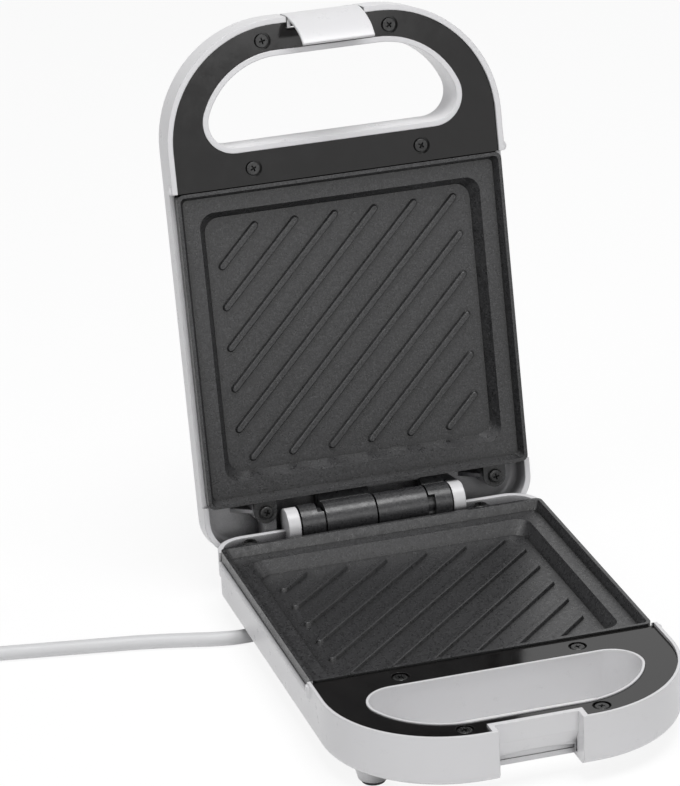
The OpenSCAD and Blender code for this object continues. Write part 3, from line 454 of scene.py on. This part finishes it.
def cast_coat():
    """Coated casting: fine grain with paler specks, and a slow change of tone."""
    group, given, out = effect("cast_coat", [
        ("Dark", "colour", tone(0.03)), ("Light", "colour", tone(0.09)),
        ("Grain Scale", "value", 1800.0), ("Gloss Low", "value", 0.35), ("Gloss High", "value", 0.6)])
    place = given.outputs["Place"]
    grain = noise(group, place, given.outputs["Grain Scale"], 4.0, 0.7)
    coarse = noise(group, place, reckon(group, "MULTIPLY", given.outputs["Grain Scale"], 0.35), 2.0)
    slow = noise(group, place, 22.0, 2.0)
    body = add_shares(group, spread(group, grain, 0.46, 0.66), 0.85, slow, 0.25)
    colour = blend_colour(group, body, given.outputs["Dark"], given.outputs["Light"])
    marks = add_shares(group, coarse, 1.0, grain, 0.5)
    return give_finish(group, given, out, colour, marks, 0.5, 1.0, add_shares(group, grain, 1.0, coarse, 0.8))


def drawn_metal():
    """Rolled or turned metal: fine lines along one direction and a mottled sheen."""
    group, given, out = effect("drawn_metal", [
        ("Dark", "colour", tone(0.3)), ("Light", "colour", tone(0.6)),
        ("Gloss Low", "value", 0.22), ("Gloss High", "value", 0.45)])
    stretch = group.nodes.new("ShaderNodeMapping")
    stretch.inputs["Scale"].default_value = (1, 0.06, 1)
    group.links.new(given.outputs["Place"], stretch.inputs["Vector"])
    lines = noise(group, stretch.outputs["Vector"], 2600.0, 3.0)
    cloud = noise(group, given.outputs["Place"], 240.0, 3.0)
    both = add_shares(group, lines, 0.6, cloud, 0.4)
    colour = blend_colour(group, spread(group, both, 0.3, 0.7), given.outputs["Dark"], given.outputs["Light"])
    return give_finish(group, given, out, colour, both, 0.3, 0.7, lines)


skin, coat, drawn = moulded_skin(), cast_coat(), drawn_metal()


def finish_from(name, group, values, bump, plain, edge=0, painted_shade=None):
    """A material whose colour, roughness and relief come from a shared effect; plain settings go on the shader.
    Edge is the radius in millimetres by which its light falls off round the corners. The last setting paints shade
    in its hollows from an ambient occlusion reading: the reach in millimetres, how open a hollow is where the
    painted shade is darkest and where it ends, and the tone of the painted shade."""
    strength, depth = bump
    material = bpy.data.materials.new(name)
    material.use_nodes = True
    tree = material.node_tree
    shader = tree.nodes["Principled BSDF"]
    place = tree.nodes.new("ShaderNodeTexCoord")
    source = tree.nodes.new("ShaderNodeGroup")
    source.node_tree = group
    tree.links.new(place.outputs["Object"], source.inputs["Place"])
    for label, value in values.items():
        source.inputs[label].default_value = value
    colour = source.outputs["Color"]
    # Painted shade: an ambient occlusion reading darkens the colour in hollows and creases towards the shade's tone.
    if painted_shade:
        reach, darkest_at, ends_at, shade_tone = painted_shade
        occlusion = tree.nodes.new("ShaderNodeAmbientOcclusion")
        occlusion.samples = 8
        occlusion.inputs["Distance"].default_value = reach * mm
        shade_share = spread(tree, occlusion.outputs["AO"], darkest_at, ends_at, 1.0, 0.0)
        colour = blend_colour(tree, shade_share, colour, shade_tone)
    tree.links.new(colour, shader.inputs["Base Color"])
    tree.links.new(source.outputs["Roughness"], shader.inputs["Roughness"])
    relief = tree.nodes.new("ShaderNodeBump")
    relief.inputs["Strength"].default_value = strength
    relief.inputs["Distance"].default_value = depth * mm
    tree.links.new(source.outputs["Height"], relief.inputs["Height"])
    tree.links.new(relief.outputs["Normal"], shader.inputs["Normal"])
    if edge:
        softened = tree.nodes.new("ShaderNodeBevel")
        softened.samples = 6
        softened.inputs["Radius"].default_value = edge * mm
        tree.links.new(softened.outputs["Normal"], relief.inputs["Normal"])
    for label, value in plain.items():
        shader.inputs[label].default_value = value
    return material


# Painted shade darkens the deep hollows and inner corners of the white shells.
white_shell = finish_from("white_moulding", skin, {
    "Tone": tone(0.79, 0.785, 0.80), "Worn Tone": tone(0.775, 0.77, 0.78), "Grain Scale": 2600.0,
    "Gloss Low": 0.26, "Gloss High": 0.34}, (0.05, 0.03), {"IOR": 1.46}, edge=0.6,
    painted_shade=(16, 0.2, 0.52, tone(0.012, 0.012, 0.016)))
black_gloss = finish_from("polished_black", skin, {
    "Tone": tone(0.0055, 0.005, 0.005), "Worn Tone": tone(0.008, 0.0072, 0.0072), "Grain Scale": 900.0,
    "Gloss Low": 0.06, "Gloss High": 0.14}, (0.03, 0.03), {"IOR": 1.5})
# Painted shade darkens the creases round the ridges and along the pocket walls.
nonstick = finish_from("nonstick_coat", coat, {
    "Dark": tone(0.006, 0.006, 0.0065), "Light": tone(0.075, 0.075, 0.078), "Grain Scale": 1700.0,
    "Gloss Low": 0.2, "Gloss High": 0.46}, (0.6, 0.1), {"IOR": 1.55}, painted_shade=(3.0, 0.6, 0.97, tone(0.002)))
# Painted shade darkens the hinge's creases and inner corners.
hinge_coat = finish_from("dark_hinge_coat", coat, {
    "Dark": tone(0.02, 0.02, 0.021), "Light": tone(0.07, 0.07, 0.073), "Grain Scale": 1500.0,
    "Gloss Low": 0.22, "Gloss High": 0.4}, (0.25, 0.06), {"IOR": 1.5}, painted_shade=(1.5, 0.55, 0.95, tone(0.003)))
# Painted shade darkens the cross recess and the screws' creases.
screw_black = finish_from("blackened_screw", drawn, {
    "Dark": tone(0.02), "Light": tone(0.07), "Gloss Low": 0.2, "Gloss High": 0.38}, (0.1, 0.02), {"Metallic": 0.75},
    painted_shade=(1.2, 0.5, 0.85, tone(0.001)))
plain_steel = finish_from("zinc_steel", drawn, {
    "Dark": tone(0.42, 0.42, 0.43), "Light": tone(0.62, 0.62, 0.63), "Gloss Low": 0.22, "Gloss High": 0.42},
    (0.12, 0.02), {"Metallic": 1.0})
heater_steel = finish_from("heat_darkened_tube", drawn, {
    "Dark": tone(0.16, 0.14, 0.12), "Light": tone(0.33, 0.3, 0.27), "Gloss Low": 0.35, "Gloss High": 0.6},
    (0.15, 0.02), {"Metallic": 0.9})
pad_rubber = finish_from("pad_rubber", skin, {
    "Tone": tone(0.02), "Worn Tone": tone(0.032), "Grain Scale": 1800.0, "Gloss Low": 0.65, "Gloss High": 0.85},
    (0.3, 0.08), {"IOR": 1.5})
cord_sheath = finish_from("cord_sheath", skin, {
    "Tone": tone(0.70, 0.70, 0.71), "Worn Tone": tone(0.67, 0.67, 0.675), "Grain Scale": 1100.0,
    "Gloss Low": 0.34, "Gloss High": 0.5}, (0.12, 0.05), {"IOR": 1.46})
plug_moulding = finish_from("plug_moulding", skin, {
    "Tone": tone(0.78, 0.78, 0.775), "Worn Tone": tone(0.74, 0.74, 0.735), "Grain Scale": 1000.0,
    "Gloss Low": 0.38, "Gloss High": 0.55}, (0.2, 0.06), {"IOR": 1.46})
band_black = finish_from("tie_band", skin, {
    "Tone": tone(0.02), "Worn Tone": tone(0.035), "Grain Scale": 900.0, "Gloss Low": 0.45, "Gloss High": 0.65},
    (0.25, 0.05), {"IOR": 1.5})
tan_moulding = finish_from("heatproof_moulding", skin, {
    "Tone": tone(0.5, 0.44, 0.33), "Worn Tone": tone(0.4, 0.34, 0.25), "Grain Scale": 1200.0,
    "Gloss Low": 0.45, "Gloss High": 0.65}, (0.3, 0.08), {"IOR": 1.5})
red_lens = finish_from("red_lens", skin, {
    "Tone": tone(0.62, 0.02, 0.015), "Worn Tone": tone(0.5, 0.015, 0.01), "Grain Scale": 700.0,
    "Gloss Low": 0.08, "Gloss High": 0.16}, (0.1, 0.05), {"IOR": 1.5, "Transmission Weight": 0.5})
green_lens = finish_from("green_lens", skin, {
    "Tone": tone(0.02, 0.42, 0.06), "Worn Tone": tone(0.015, 0.33, 0.05), "Grain Scale": 700.0,
    "Gloss Low": 0.08, "Gloss High": 0.16}, (0.1, 0.05), {"IOR": 1.5, "Transmission Weight": 0.5})
lamp_glass = finish_from("lamp_glass", skin, {
    "Tone": tone(0.95, 0.8, 0.65), "Worn Tone": tone(0.9, 0.72, 0.55), "Grain Scale": 600.0,
    "Gloss Low": 0.03, "Gloss High": 0.08}, (0.05, 0.03), {"IOR": 1.45, "Transmission Weight": 0.9})


# Mouldings and castings, with the rounded edges that they come out of the tool with. They are modelled in
# millimetres, with heights from the parting plane.
place_in_base = Matrix.Translation((0, 0, parting_z))
place_in_lid = lid_place @ place_in_base
plate_y = -1.065
plate_half_w, plate_half_l = 64, 60.6
plate_front, front_y = plate_y - plate_half_l, plate_y - 122.1
arc_x, front_r = 20, 45.5
panel_seat_z = -2.6
panel_screws_at = ((24.9, feet_y / mm - 92.0), (33.1, plate_front - 6.3))
screw_spots = [(side * x, y) for x, y in panel_screws_at for side in (-1, 1)]
lug_y, lug_top_z = 65.2, -3.2
lug_spots = (-50.8, 41.4)


# Cooking plate: rim, land, pocket with diagonal ridges and the lugs that hold it, below the parting plane
ridge_n, ridge_pitch, ridge_shift = 11, 15.8, -1.5


def model_ridge(offset):
    """One ridge with round ends and a rounded top, along a diagonal of the pocket."""
    end, draw, foot_z, top_z = 1.65, 0.6, -9.3, -7.7
    reach_x, reach_y = 48.8 - end, 46 - end
    x0 = max(-reach_x, offset - reach_y)
    x1 = min(reach_x, offset + reach_y)
    long = (x1 - x0) * 2 ** 0.5 / 2 + end
    bar = slab(long, end, foot_z, top_z)
    round_corners(bar, end * 0.999, 8)
    scale_level(bar, top_z, 1 - draw / long, 1 - draw / end)
    select_where(bar, faces=lambda f: f.normal.z > 0.9)
    bpy.ops.mesh.bevel(offset=0.25 * mm, segments=3, affect="EDGES")
    bpy.ops.object.mode_set(mode="OBJECT")
    middle = ((x0 + x1) / 2 * mm, ((x0 + x1) / 2 - offset) * mm, 0)
    bar.data.transform(Matrix.Translation(middle) @ Matrix.Rotation(pi / 4, 4, "Z"))
    return bar


def model_plate():
    corner_r, rim_w, rim_slope = 2.5, 2.8, 1.93
    rim_z, land_z, pocket_z, skirt_z, under_z = -0.5, -4, -9, -6, -11
    plate = slab(plate_half_w, plate_half_l, land_z - 0.5, rim_z)
    round_corners(plate, corner_r, 6)
    skirt = slab(plate_half_w - 2.5, plate_half_l - 2.5, skirt_z, land_z - 0.4)
    round_corners(skirt, corner_r, 4)
    body = slab(56.9, 53.5, under_z, skirt_z + 0.1)
    round_corners(body, 9.5, 8)
    unite(plate, skirt, body)

    land_half_w, land_half_l = plate_half_w - rim_w, plate_half_l - rim_w
    well = slab(land_half_w, land_half_l, land_z, 0.5)
    scale_level(well, 0.5, 1 + rim_slope / land_half_w, 1 + rim_slope / land_half_l)
    round_corners(well, 1.6, 4)
    pocket_half_w, pocket_half_l, pocket_slope = 55.68, 52.28, 3.08
    pocket = slab(pocket_half_w, pocket_half_l, pocket_z, land_z + 0.5)
    scale_level(pocket, pocket_z, 1 - pocket_slope / pocket_half_w, 1 - pocket_slope / pocket_half_l)
    round_corners(pocket, 5.2, 10)
    cut(plate, well, pocket)
    offsets = [(i - (ridge_n - 1) / 2) * ridge_pitch + ridge_shift for i in range(ridge_n)]
    unite(plate, join([model_ridge(offset) for offset in offsets], "ridges"))

    lug_r, lug_under_z, lug_hole_r = 4.4, -5.4, 1.6
    for x in lug_spots:
        web = block((x - lug_r + 0.01, 59.5, lug_under_z), (x + lug_r - 0.01, lug_y, lug_top_z))
        lug = peg(x, lug_y, lug_r, lug_under_z, lug_top_z)
        unite(lug, web)
        unite(plate, lug)
        cut(plate, peg(x, lug_y, lug_hole_r, -7, -2, 24))
    tongue_half = 6
    for x in (-16.55, 16.55):
        unite(plate, block((x - tongue_half, -64.1, skirt_z), (x + tongue_half, -60, -4.3)))
    finish_with(plate, "BEVEL", width=0.32 * mm, segments=3, limit_method="ANGLE", angle_limit=radians(28),
                use_clamp_overlap=True, miter_outer="MITER_ARC")
    shade(plate, 40)
    plate.data.transform(Matrix.Translation((0, plate_y * mm, 0)))
    return plate


# Handle cover: a D round the handle hole, with its notch at the recess and four screw seats
def model_cover(rim, margin):
    """Rim is the width of the shell round it, and margin that of the recess walls that its notch leaves free."""
    under_z, top_z, seat_r, shank_hole_r = -3.3, -1.3, 3.3, 1.7
    hole_back, hole_front = plate_front - 12.8, front_y + 11.9
    small_x, small_r, big_r = 39, 12, 32.5
    small_y, big_y = hole_back - small_r, hole_front + big_r
    lean = atan2(big_y - small_y, small_x - arc_x)
    notch_x, notch_y = 15.3 + margin, front_y + 5.1 + margin
    side_x, near_y, far_y = 65.4 - rim, front_y + rim + 0.1, plate_front - 0.3
    cover = trace_half((0, notch_y), [
        ("to", notch_x, notch_y), ("to", notch_x, near_y), ("to", arc_x, near_y),
        ("round", arc_x, front_y + front_r, 90, 30), ("to", side_x, far_y), ("to", 0, far_y)], under_z, top_z)
    turn = 90 - lean * 180 / pi
    hole = trace_half((0, hole_front), [
        ("to", arc_x, hole_front), ("round", arc_x, big_y, turn, 24), ("round", small_x, small_y, 180 - turn, 22),
        ("to", 0, hole_back)], -5, 1)
    cut(cover, hole)
    for x, y in screw_spots:
        cut(cover, peg(x, y, seat_r, panel_seat_z, 1), peg(x, y, shank_hole_r, -5, 1, 32))
    finish_with(cover, "BEVEL", width=0.3 * mm, segments=3, limit_method="ANGLE", angle_limit=radians(40),
                use_clamp_overlap=True, miter_outer="MITER_ARC")
    shade(cover)
    return cover


# Latch: a clip that curves in towards its tip, with the barrel that turns on the pin and two short cheeks
def model_latch():
    half, top, tip, steps = 14.8, 7.7, -16.8, 20
    strip_t, pin_y, pin_z = 1.45, front_y + 2.2, 8.7

    def face_depth(z):
        """How far behind the shell's front the outer face lies."""
        return -0.5 + 0.0129 * (top - z) ** 2 + 0.049 * max(0, -11 - z) ** 2

    rows = [(2.2, 11.3), (1.3, 11.1), (0.45, 10.5), (-0.15, 9.5), (-0.42, 8.6)]
    rows += [(face_depth(z), z) for z in (top + (tip - top) * i / steps for i in range(steps + 1))]
    clip = block((-half, front_y + 2.2, 10.3), (half, front_y + 3.2, 11.3))
    select_where(clip, edges=lambda e: all(clip.data.vertices[i].co.z > 11.2 * mm
                                           and clip.data.vertices[i].co.y < (front_y + 2.3) * mm for i in e.vertices))
    bpy.ops.mesh.select_all(action="INVERT")
    bpy.ops.mesh.delete(type="EDGE")
    bpy.ops.mesh.select_all(action="SELECT")
    taper, taper_h = 0.8, 27
    for (y, z), (next_y, next_z) in zip(rows, rows[1:]):
        extrude(0, next_y - y, next_z - z)
        narrower = 1 - taper / half * max(0, z - next_z) / taper_h
        bpy.ops.transform.resize(value=(narrower, 1, 1), center_override=(0, 0, 0))
    bpy.ops.object.mode_set(mode="OBJECT")
    if clip.data.polygons[-1].normal.y > 0:
        select_where(clip, faces=lambda f: True)
        bpy.ops.mesh.flip_normals()
        bpy.ops.object.mode_set(mode="OBJECT")
    finish_with(clip, "SOLIDIFY", thickness=strip_t * mm, offset=-1, use_even_offset=True)
    finish_with(clip, "BEVEL", width=0.5 * mm, segments=4, limit_method="ANGLE", angle_limit=radians(50))
    for side in (-1, 1):
        inner, outer = sorted((side * 13.5, side * 14.75))
        unite(clip, block((inner, front_y + 0.8, 1), (outer, front_y + 4.4, pin_z)))
    unite(clip, bar_along(2.6, pin_y, pin_z, half - 0.02))
    cut(clip, bar_along(1.05, pin_y, pin_z, half + 1, 32))
    shade(clip, 40)
    return clip


def set_piece(pattern, place, name, body, material, slot, node):
    """Moves a finished model from the parting plane to its place, and names it."""
    pattern.data.transform(place)
    pattern.name = name
    place_piece(pattern, body, material, slot, node)


plate = model_plate()
set_piece(copy_at(plate, Matrix()), place_in_lid, "upper_casting", "lid", nonstick, "nonstick", "upper_plate")
set_piece(plate, place_in_base, "lower_casting", "base", nonstick, "nonstick", "lower_plate")
set_piece(model_cover(2.1, 0), place_in_lid, "lid_handle_cover", "lid", black_gloss, "black_panel", "lid_panel")
set_piece(model_cover(1.2, 2.1), place_in_base, "base_handle_cover", "base", black_gloss, "black_panel", "base_panel")
for node in ("base_shell", "lid_shell"):
    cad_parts[node].material_slots[0].material = white_shell
set_piece(model_latch(), swung_open @ place_in_base, "latch_clip", "latch", white_shell, "white_shell", "latch")
place_piece(dressed("base_hinge", "base_knuckles", 0.3, 2), "base", hinge_coat, "hinge_metal", "base_hinge")
place_piece(dressed("lid_hinge", "lid_knuckles", 0.3, 2), "lid", hinge_coat, "hinge_metal", "lid_hinge")
place_piece(dressed("power_lens", "power_window", 0.15, 3), "lid", red_lens, "red_lens", "power_lens")
place_piece(dressed("ready_lens", "ready_window", 0.15, 3), "lid", green_lens, "green_lens", "ready_lens")
place_piece(dressed("plug_body", "plug_moulding", 1.2, 4), "base", plug_moulding, "plug_plastic", "plug_body")
place_piece(dressed("plug_pins", "plug_contacts", 0.8, 3), "base", plain_steel, "steel", "plug_pins")


# Screws: a domed head with a cross recess, on a plain shank
def model_screw(head_h):
    """Stands with its head's underside at the origin."""
    head_r, shank_r, shank_l, point_l = 2.7, 1.5, 7, 0.6
    screw = peg(0, 0, head_r, 0, head_h, 40)
    rim = head_h * mm * 0.99
    select_where(screw, faces=lambda f: f.center.z > rim)
    bpy.ops.mesh.bevel(offset=head_h * 0.45 * mm, segments=5, affect="EDGES", clamp_overlap=True)
    select_where(screw, faces=lambda f: f.normal.z < -0.99)
    bpy.ops.mesh.inset(thickness=(head_r - shank_r) * mm)
    extrude(0, 0, -shank_l)
    extrude(0, 0, -point_l)
    bpy.ops.transform.resize(value=(0.6, 0.6, 1))
    bpy.ops.object.mode_set(mode="OBJECT")
    blade_half_l, blade_half_t, blade_half_h = 1.25 * head_r / 2, 0.4, 0.85
    for turn in (0, pi / 2):
        blade = slab(blade_half_l, blade_half_t, head_h - blade_half_h, head_h + blade_half_h)
        blade.data.transform(Matrix.Rotation(turn, 4, "Z"))
        tip = (head_h - 0.5) * mm
        select_where(blade, faces=lambda f: f.center.z < tip)
        bpy.ops.transform.resize(value=(0.45, 0.45, 1))
        bpy.ops.object.mode_set(mode="OBJECT")
        cut(screw, blade)
    shade(screw, 30)
    return screw


def set_screws(places, name, turns, head_h):
    pattern = model_screw(head_h)
    screws = [copy_at(pattern, place @ Matrix.Rotation(radians(turn), 4, "Z")) for place, turn in zip(places, turns)]
    bpy.data.objects.remove(pattern)
    return join(screws, name)


def in_lid(places):
    return [lid_place @ place for place in places]


panel_seats = [Matrix.Translation((x * mm, y * mm, parting_z + panel_seat_z * mm)) for x, y in screw_spots]
plate_seats = [Matrix.Translation((x * mm, (plate_y + lug_y) * mm, parting_z + lug_top_z * mm)) for x in lug_spots]
panel_head_h, plate_head_h = 1.1, 1.8
for body, part, seats, turns, head_h in (
        ("base", "panel", panel_seats, (18, 63, 40, 8), panel_head_h),
        ("lid", "panel", in_lid(panel_seats), (35, 12, 55, 27), panel_head_h),
        ("base", "plate", plate_seats, (20, 50), plate_head_h),
        ("lid", "plate", in_lid(plate_seats), (10, 70), plate_head_h)):
    place_piece(set_screws(seats, f"{body}_{part}_fixings", turns, head_h), body,
                screw_black, "black_screw", f"{body}_{part}_screws")


# Rubber pads under the feet: a rounded edge and a shallow dished sole
def model_pads():
    radius = 4.3
    low, high = (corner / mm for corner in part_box("foot_pads"))
    floor = (low.z + 0.1) * mm
    pads = []
    for x in (low.x + radius, high.x - radius):
        for y in (low.y + radius, high.y - radius):
            pad = peg(x, y, radius, low.z, high.z)
            select_where(pad, faces=lambda f: f.center.z < floor)
            bpy.ops.mesh.bevel(offset=0.5 * mm, segments=4, affect="EDGES")
            select_where(pad, faces=lambda f: f.center.z < floor and len(f.vertices) > 4)
            bpy.ops.mesh.inset(thickness=1.2 * mm)
            bpy.ops.mesh.inset(thickness=0.4 * mm)
            bpy.ops.transform.translate(value=(0, 0, 0.3 * mm))
            bpy.ops.object.mode_set(mode="OBJECT")
            pads.append(pad)
    pads = join(pads, "foot_rubbers")
    shade(pads, 40)
    return pads


place_piece(model_pads(), "base", pad_rubber, "pad_rubber", "foot_pads")


# Strain relief: a tapering sleeve with ribs round it, from the shell's back wall to the cord
def model_boot():
    ribs, root_r, sleeve_r, end_r = 7, 2.9, 3.55, 2.95
    groove, collar_l, edge_l = 0.5, 2.6, 0.15
    boot = peg(0, 0, root_r, -2.7, 0.3, 32)
    radius = root_r

    def grow(radius_next, rise):
        """Raises the top ring to a new one, and gives it that radius."""
        nonlocal radius
        height = max(v.co.z for v in boot.data.vertices) - 0.01 * mm
        select_where(boot, faces=lambda f: f.center.z > height)
        extrude(0, 0, rise)
        ratio = radius_next / radius
        bpy.ops.transform.resize(value=(ratio, ratio, 1))
        bpy.ops.object.mode_set(mode="OBJECT")
        radius = radius_next

    grow(sleeve_r, 0.01)
    grow(sleeve_r, collar_l)
    step = (boot_l - 4.4) / ribs
    for i in range(ribs):
        wide = sleeve_r - 0.45 * (i + 1) / ribs
        grow(wide - groove, edge_l)
        grow(wide - groove, step * 0.32)
        grow(wide, edge_l)
        grow(wide, step * 0.68 - 2 * edge_l)
    grow(end_r, boot_l - 1.5 - (collar_l + 0.31 + step * ribs))
    finish_with(boot, "BEVEL", width=0.18 * mm, segments=2, limit_method="ANGLE", angle_limit=radians(30))
    at_wall = Matrix.Translation((boot_x * mm, feet_y + boot_y * mm, boot_z * mm))
    boot.data.transform(at_wall @ Matrix.Rotation(-pi / 2 - boot_tilt, 4, "X"))
    boot.name = "strain_relief"
    shade(boot, 40)
    return boot


place_piece(model_boot(), "base", plug_moulding, "cord_plastic", "cord_boot")


# Tie round the coil: a flat band with rounded corners
def model_tie():
    low, high = (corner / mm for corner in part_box("cord_tie"))
    tie = block(low, high, "cord_band")
    width = (high.y - low.y) * mm

    def runs_across(edge):
        a, b = (tie.data.vertices[i].co for i in edge.vertices)
        return abs(a.y - b.y) > width / 2

    select_where(tie, edges=runs_across)
    bpy.ops.mesh.bevel(offset=1.6 * mm, segments=6, affect="EDGES")
    select_where(tie, faces=lambda f: abs(f.normal.y) > 0.9)
    bpy.ops.mesh.inset(thickness=0.55 * mm)
    bpy.ops.mesh.bridge_edge_loops()
    bpy.ops.object.mode_set(mode="OBJECT")
    shade(tie, 40)
    return tie


place_piece(model_tie(), "base", band_black, "tie", "cord_tie")

cord.data.materials.append(cord_sheath)
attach(cord, "base")
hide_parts("cord", "cord_coil", "cord_tail")
cord_points()[0]

# Solids whose shape is right already, out of sight
for node, material in (
        ("lower_element", heater_steel), ("upper_element", heater_steel), ("lower_reflector", plain_steel),
        ("upper_reflector", plain_steel), ("base_hinge_screws", plain_steel), ("lid_hinge_screws", plain_steel),
        ("hinge_pin", plain_steel), ("latch_pin", plain_steel), ("thermostat", tan_moulding),
        ("thermal_fuse", tan_moulding), ("terminal_block", tan_moulding), ("power_lamp", lamp_glass),
        ("ready_lamp", lamp_glass)):
    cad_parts[node].material_slots[0].material = material


# Floor, surroundings and lights
def white_for_the_eye(tree, lit, eye_strength, share, gloss_share):
    """Mixes plain white into what the camera, gloss and glass see, and leaves the light on the object alone."""
    path = tree.nodes.new("ShaderNodeLightPath")
    gloss = reckon(tree, "MULTIPLY", path.outputs["Is Glossy Ray"], gloss_share)
    seen = reckon(tree, "MAXIMUM", reckon(tree, "MAXIMUM", path.outputs["Is Camera Ray"], gloss),
                  path.outputs["Is Transmission Ray"])
    glow = tree.nodes.new("ShaderNodeEmission" if tree.nodes.get("Material Output") else "ShaderNodeBackground")
    glow.inputs["Color"].default_value = tone(1.0)
    glow.inputs["Strength"].default_value = eye_strength
    mix = tree.nodes.new("ShaderNodeMixShader")
    tree.links.new(reckon(tree, "MULTIPLY", seen, share), mix.inputs["Fac"])
    tree.links.new(lit, mix.inputs[1])
    tree.links.new(glow.outputs[0], mix.inputs[2])
    return mix.outputs[0]


def lay_floor():
    bpy.ops.object.select_all(action="DESELECT")
    bpy.ops.mesh.primitive_plane_add(size=12, location=(0, 0, -0.0001))
    floor = bpy.context.active_object
    floor.name = "floor"
    material = bpy.data.materials.new("pale_floor")
    material.use_nodes = True
    tree = material.node_tree
    shader = tree.nodes["Principled BSDF"]
    shader.inputs["Base Color"].default_value = tone(0.9)
    shader.inputs["Roughness"].default_value = 0.9
    shader.inputs["Specular IOR Level"].default_value = 0.1
    seen = white_for_the_eye(tree, shader.outputs[0], eye_strength=1.04, share=0.85, gloss_share=1.0)
    tree.links.new(seen, tree.nodes["Material Output"].inputs["Surface"])
    floor.data.materials.append(material)


def light_sky(ambient):
    world = bpy.data.worlds.new("surroundings")
    bpy.context.scene.world = world
    world.use_nodes = True
    tree = world.node_tree
    sky = tree.nodes["Background"]
    sky.inputs["Color"].default_value = tone(0.97, 0.98, 1.0)
    sky.inputs["Strength"].default_value = ambient
    seen = white_for_the_eye(tree, sky.outputs[0], eye_strength=1.0, share=1.0, gloss_share=0.85)
    tree.links.new(seen, tree.nodes["World Output"].inputs["Surface"])


def hang_lamp(name, place, aim, size, power):
    lamp = bpy.data.lights.new(name, "AREA")
    lamp.shape = "RECTANGLE"
    lamp.size, lamp.size_y = size
    lamp.energy = power
    light = bpy.data.objects.new(name, lamp)
    bpy.context.scene.collection.objects.link(light)
    light.location = place
    light.rotation_euler = (Vector(aim) - Vector(place)).to_track_quat("-Z", "Y").to_euler()


lay_floor()
light_sky(0.14)
hang_lamp("soft_top", (0.1, -0.3, 1.6), (0, 0.0, 0.05), (1.0, 0.8), 17.5)
hang_lamp("soft_front", (0.1, -1.8, 0.7), (0, 0.0, 0.1), (1.0, 0.7), 5)
hang_lamp("soft_left", (-1.1, -0.5, 1.1), (0, 0.0, 0.08), (0.6, 0.6), 3.5)

scene = bpy.context.scene
scene.view_settings.view_transform = "Standard"
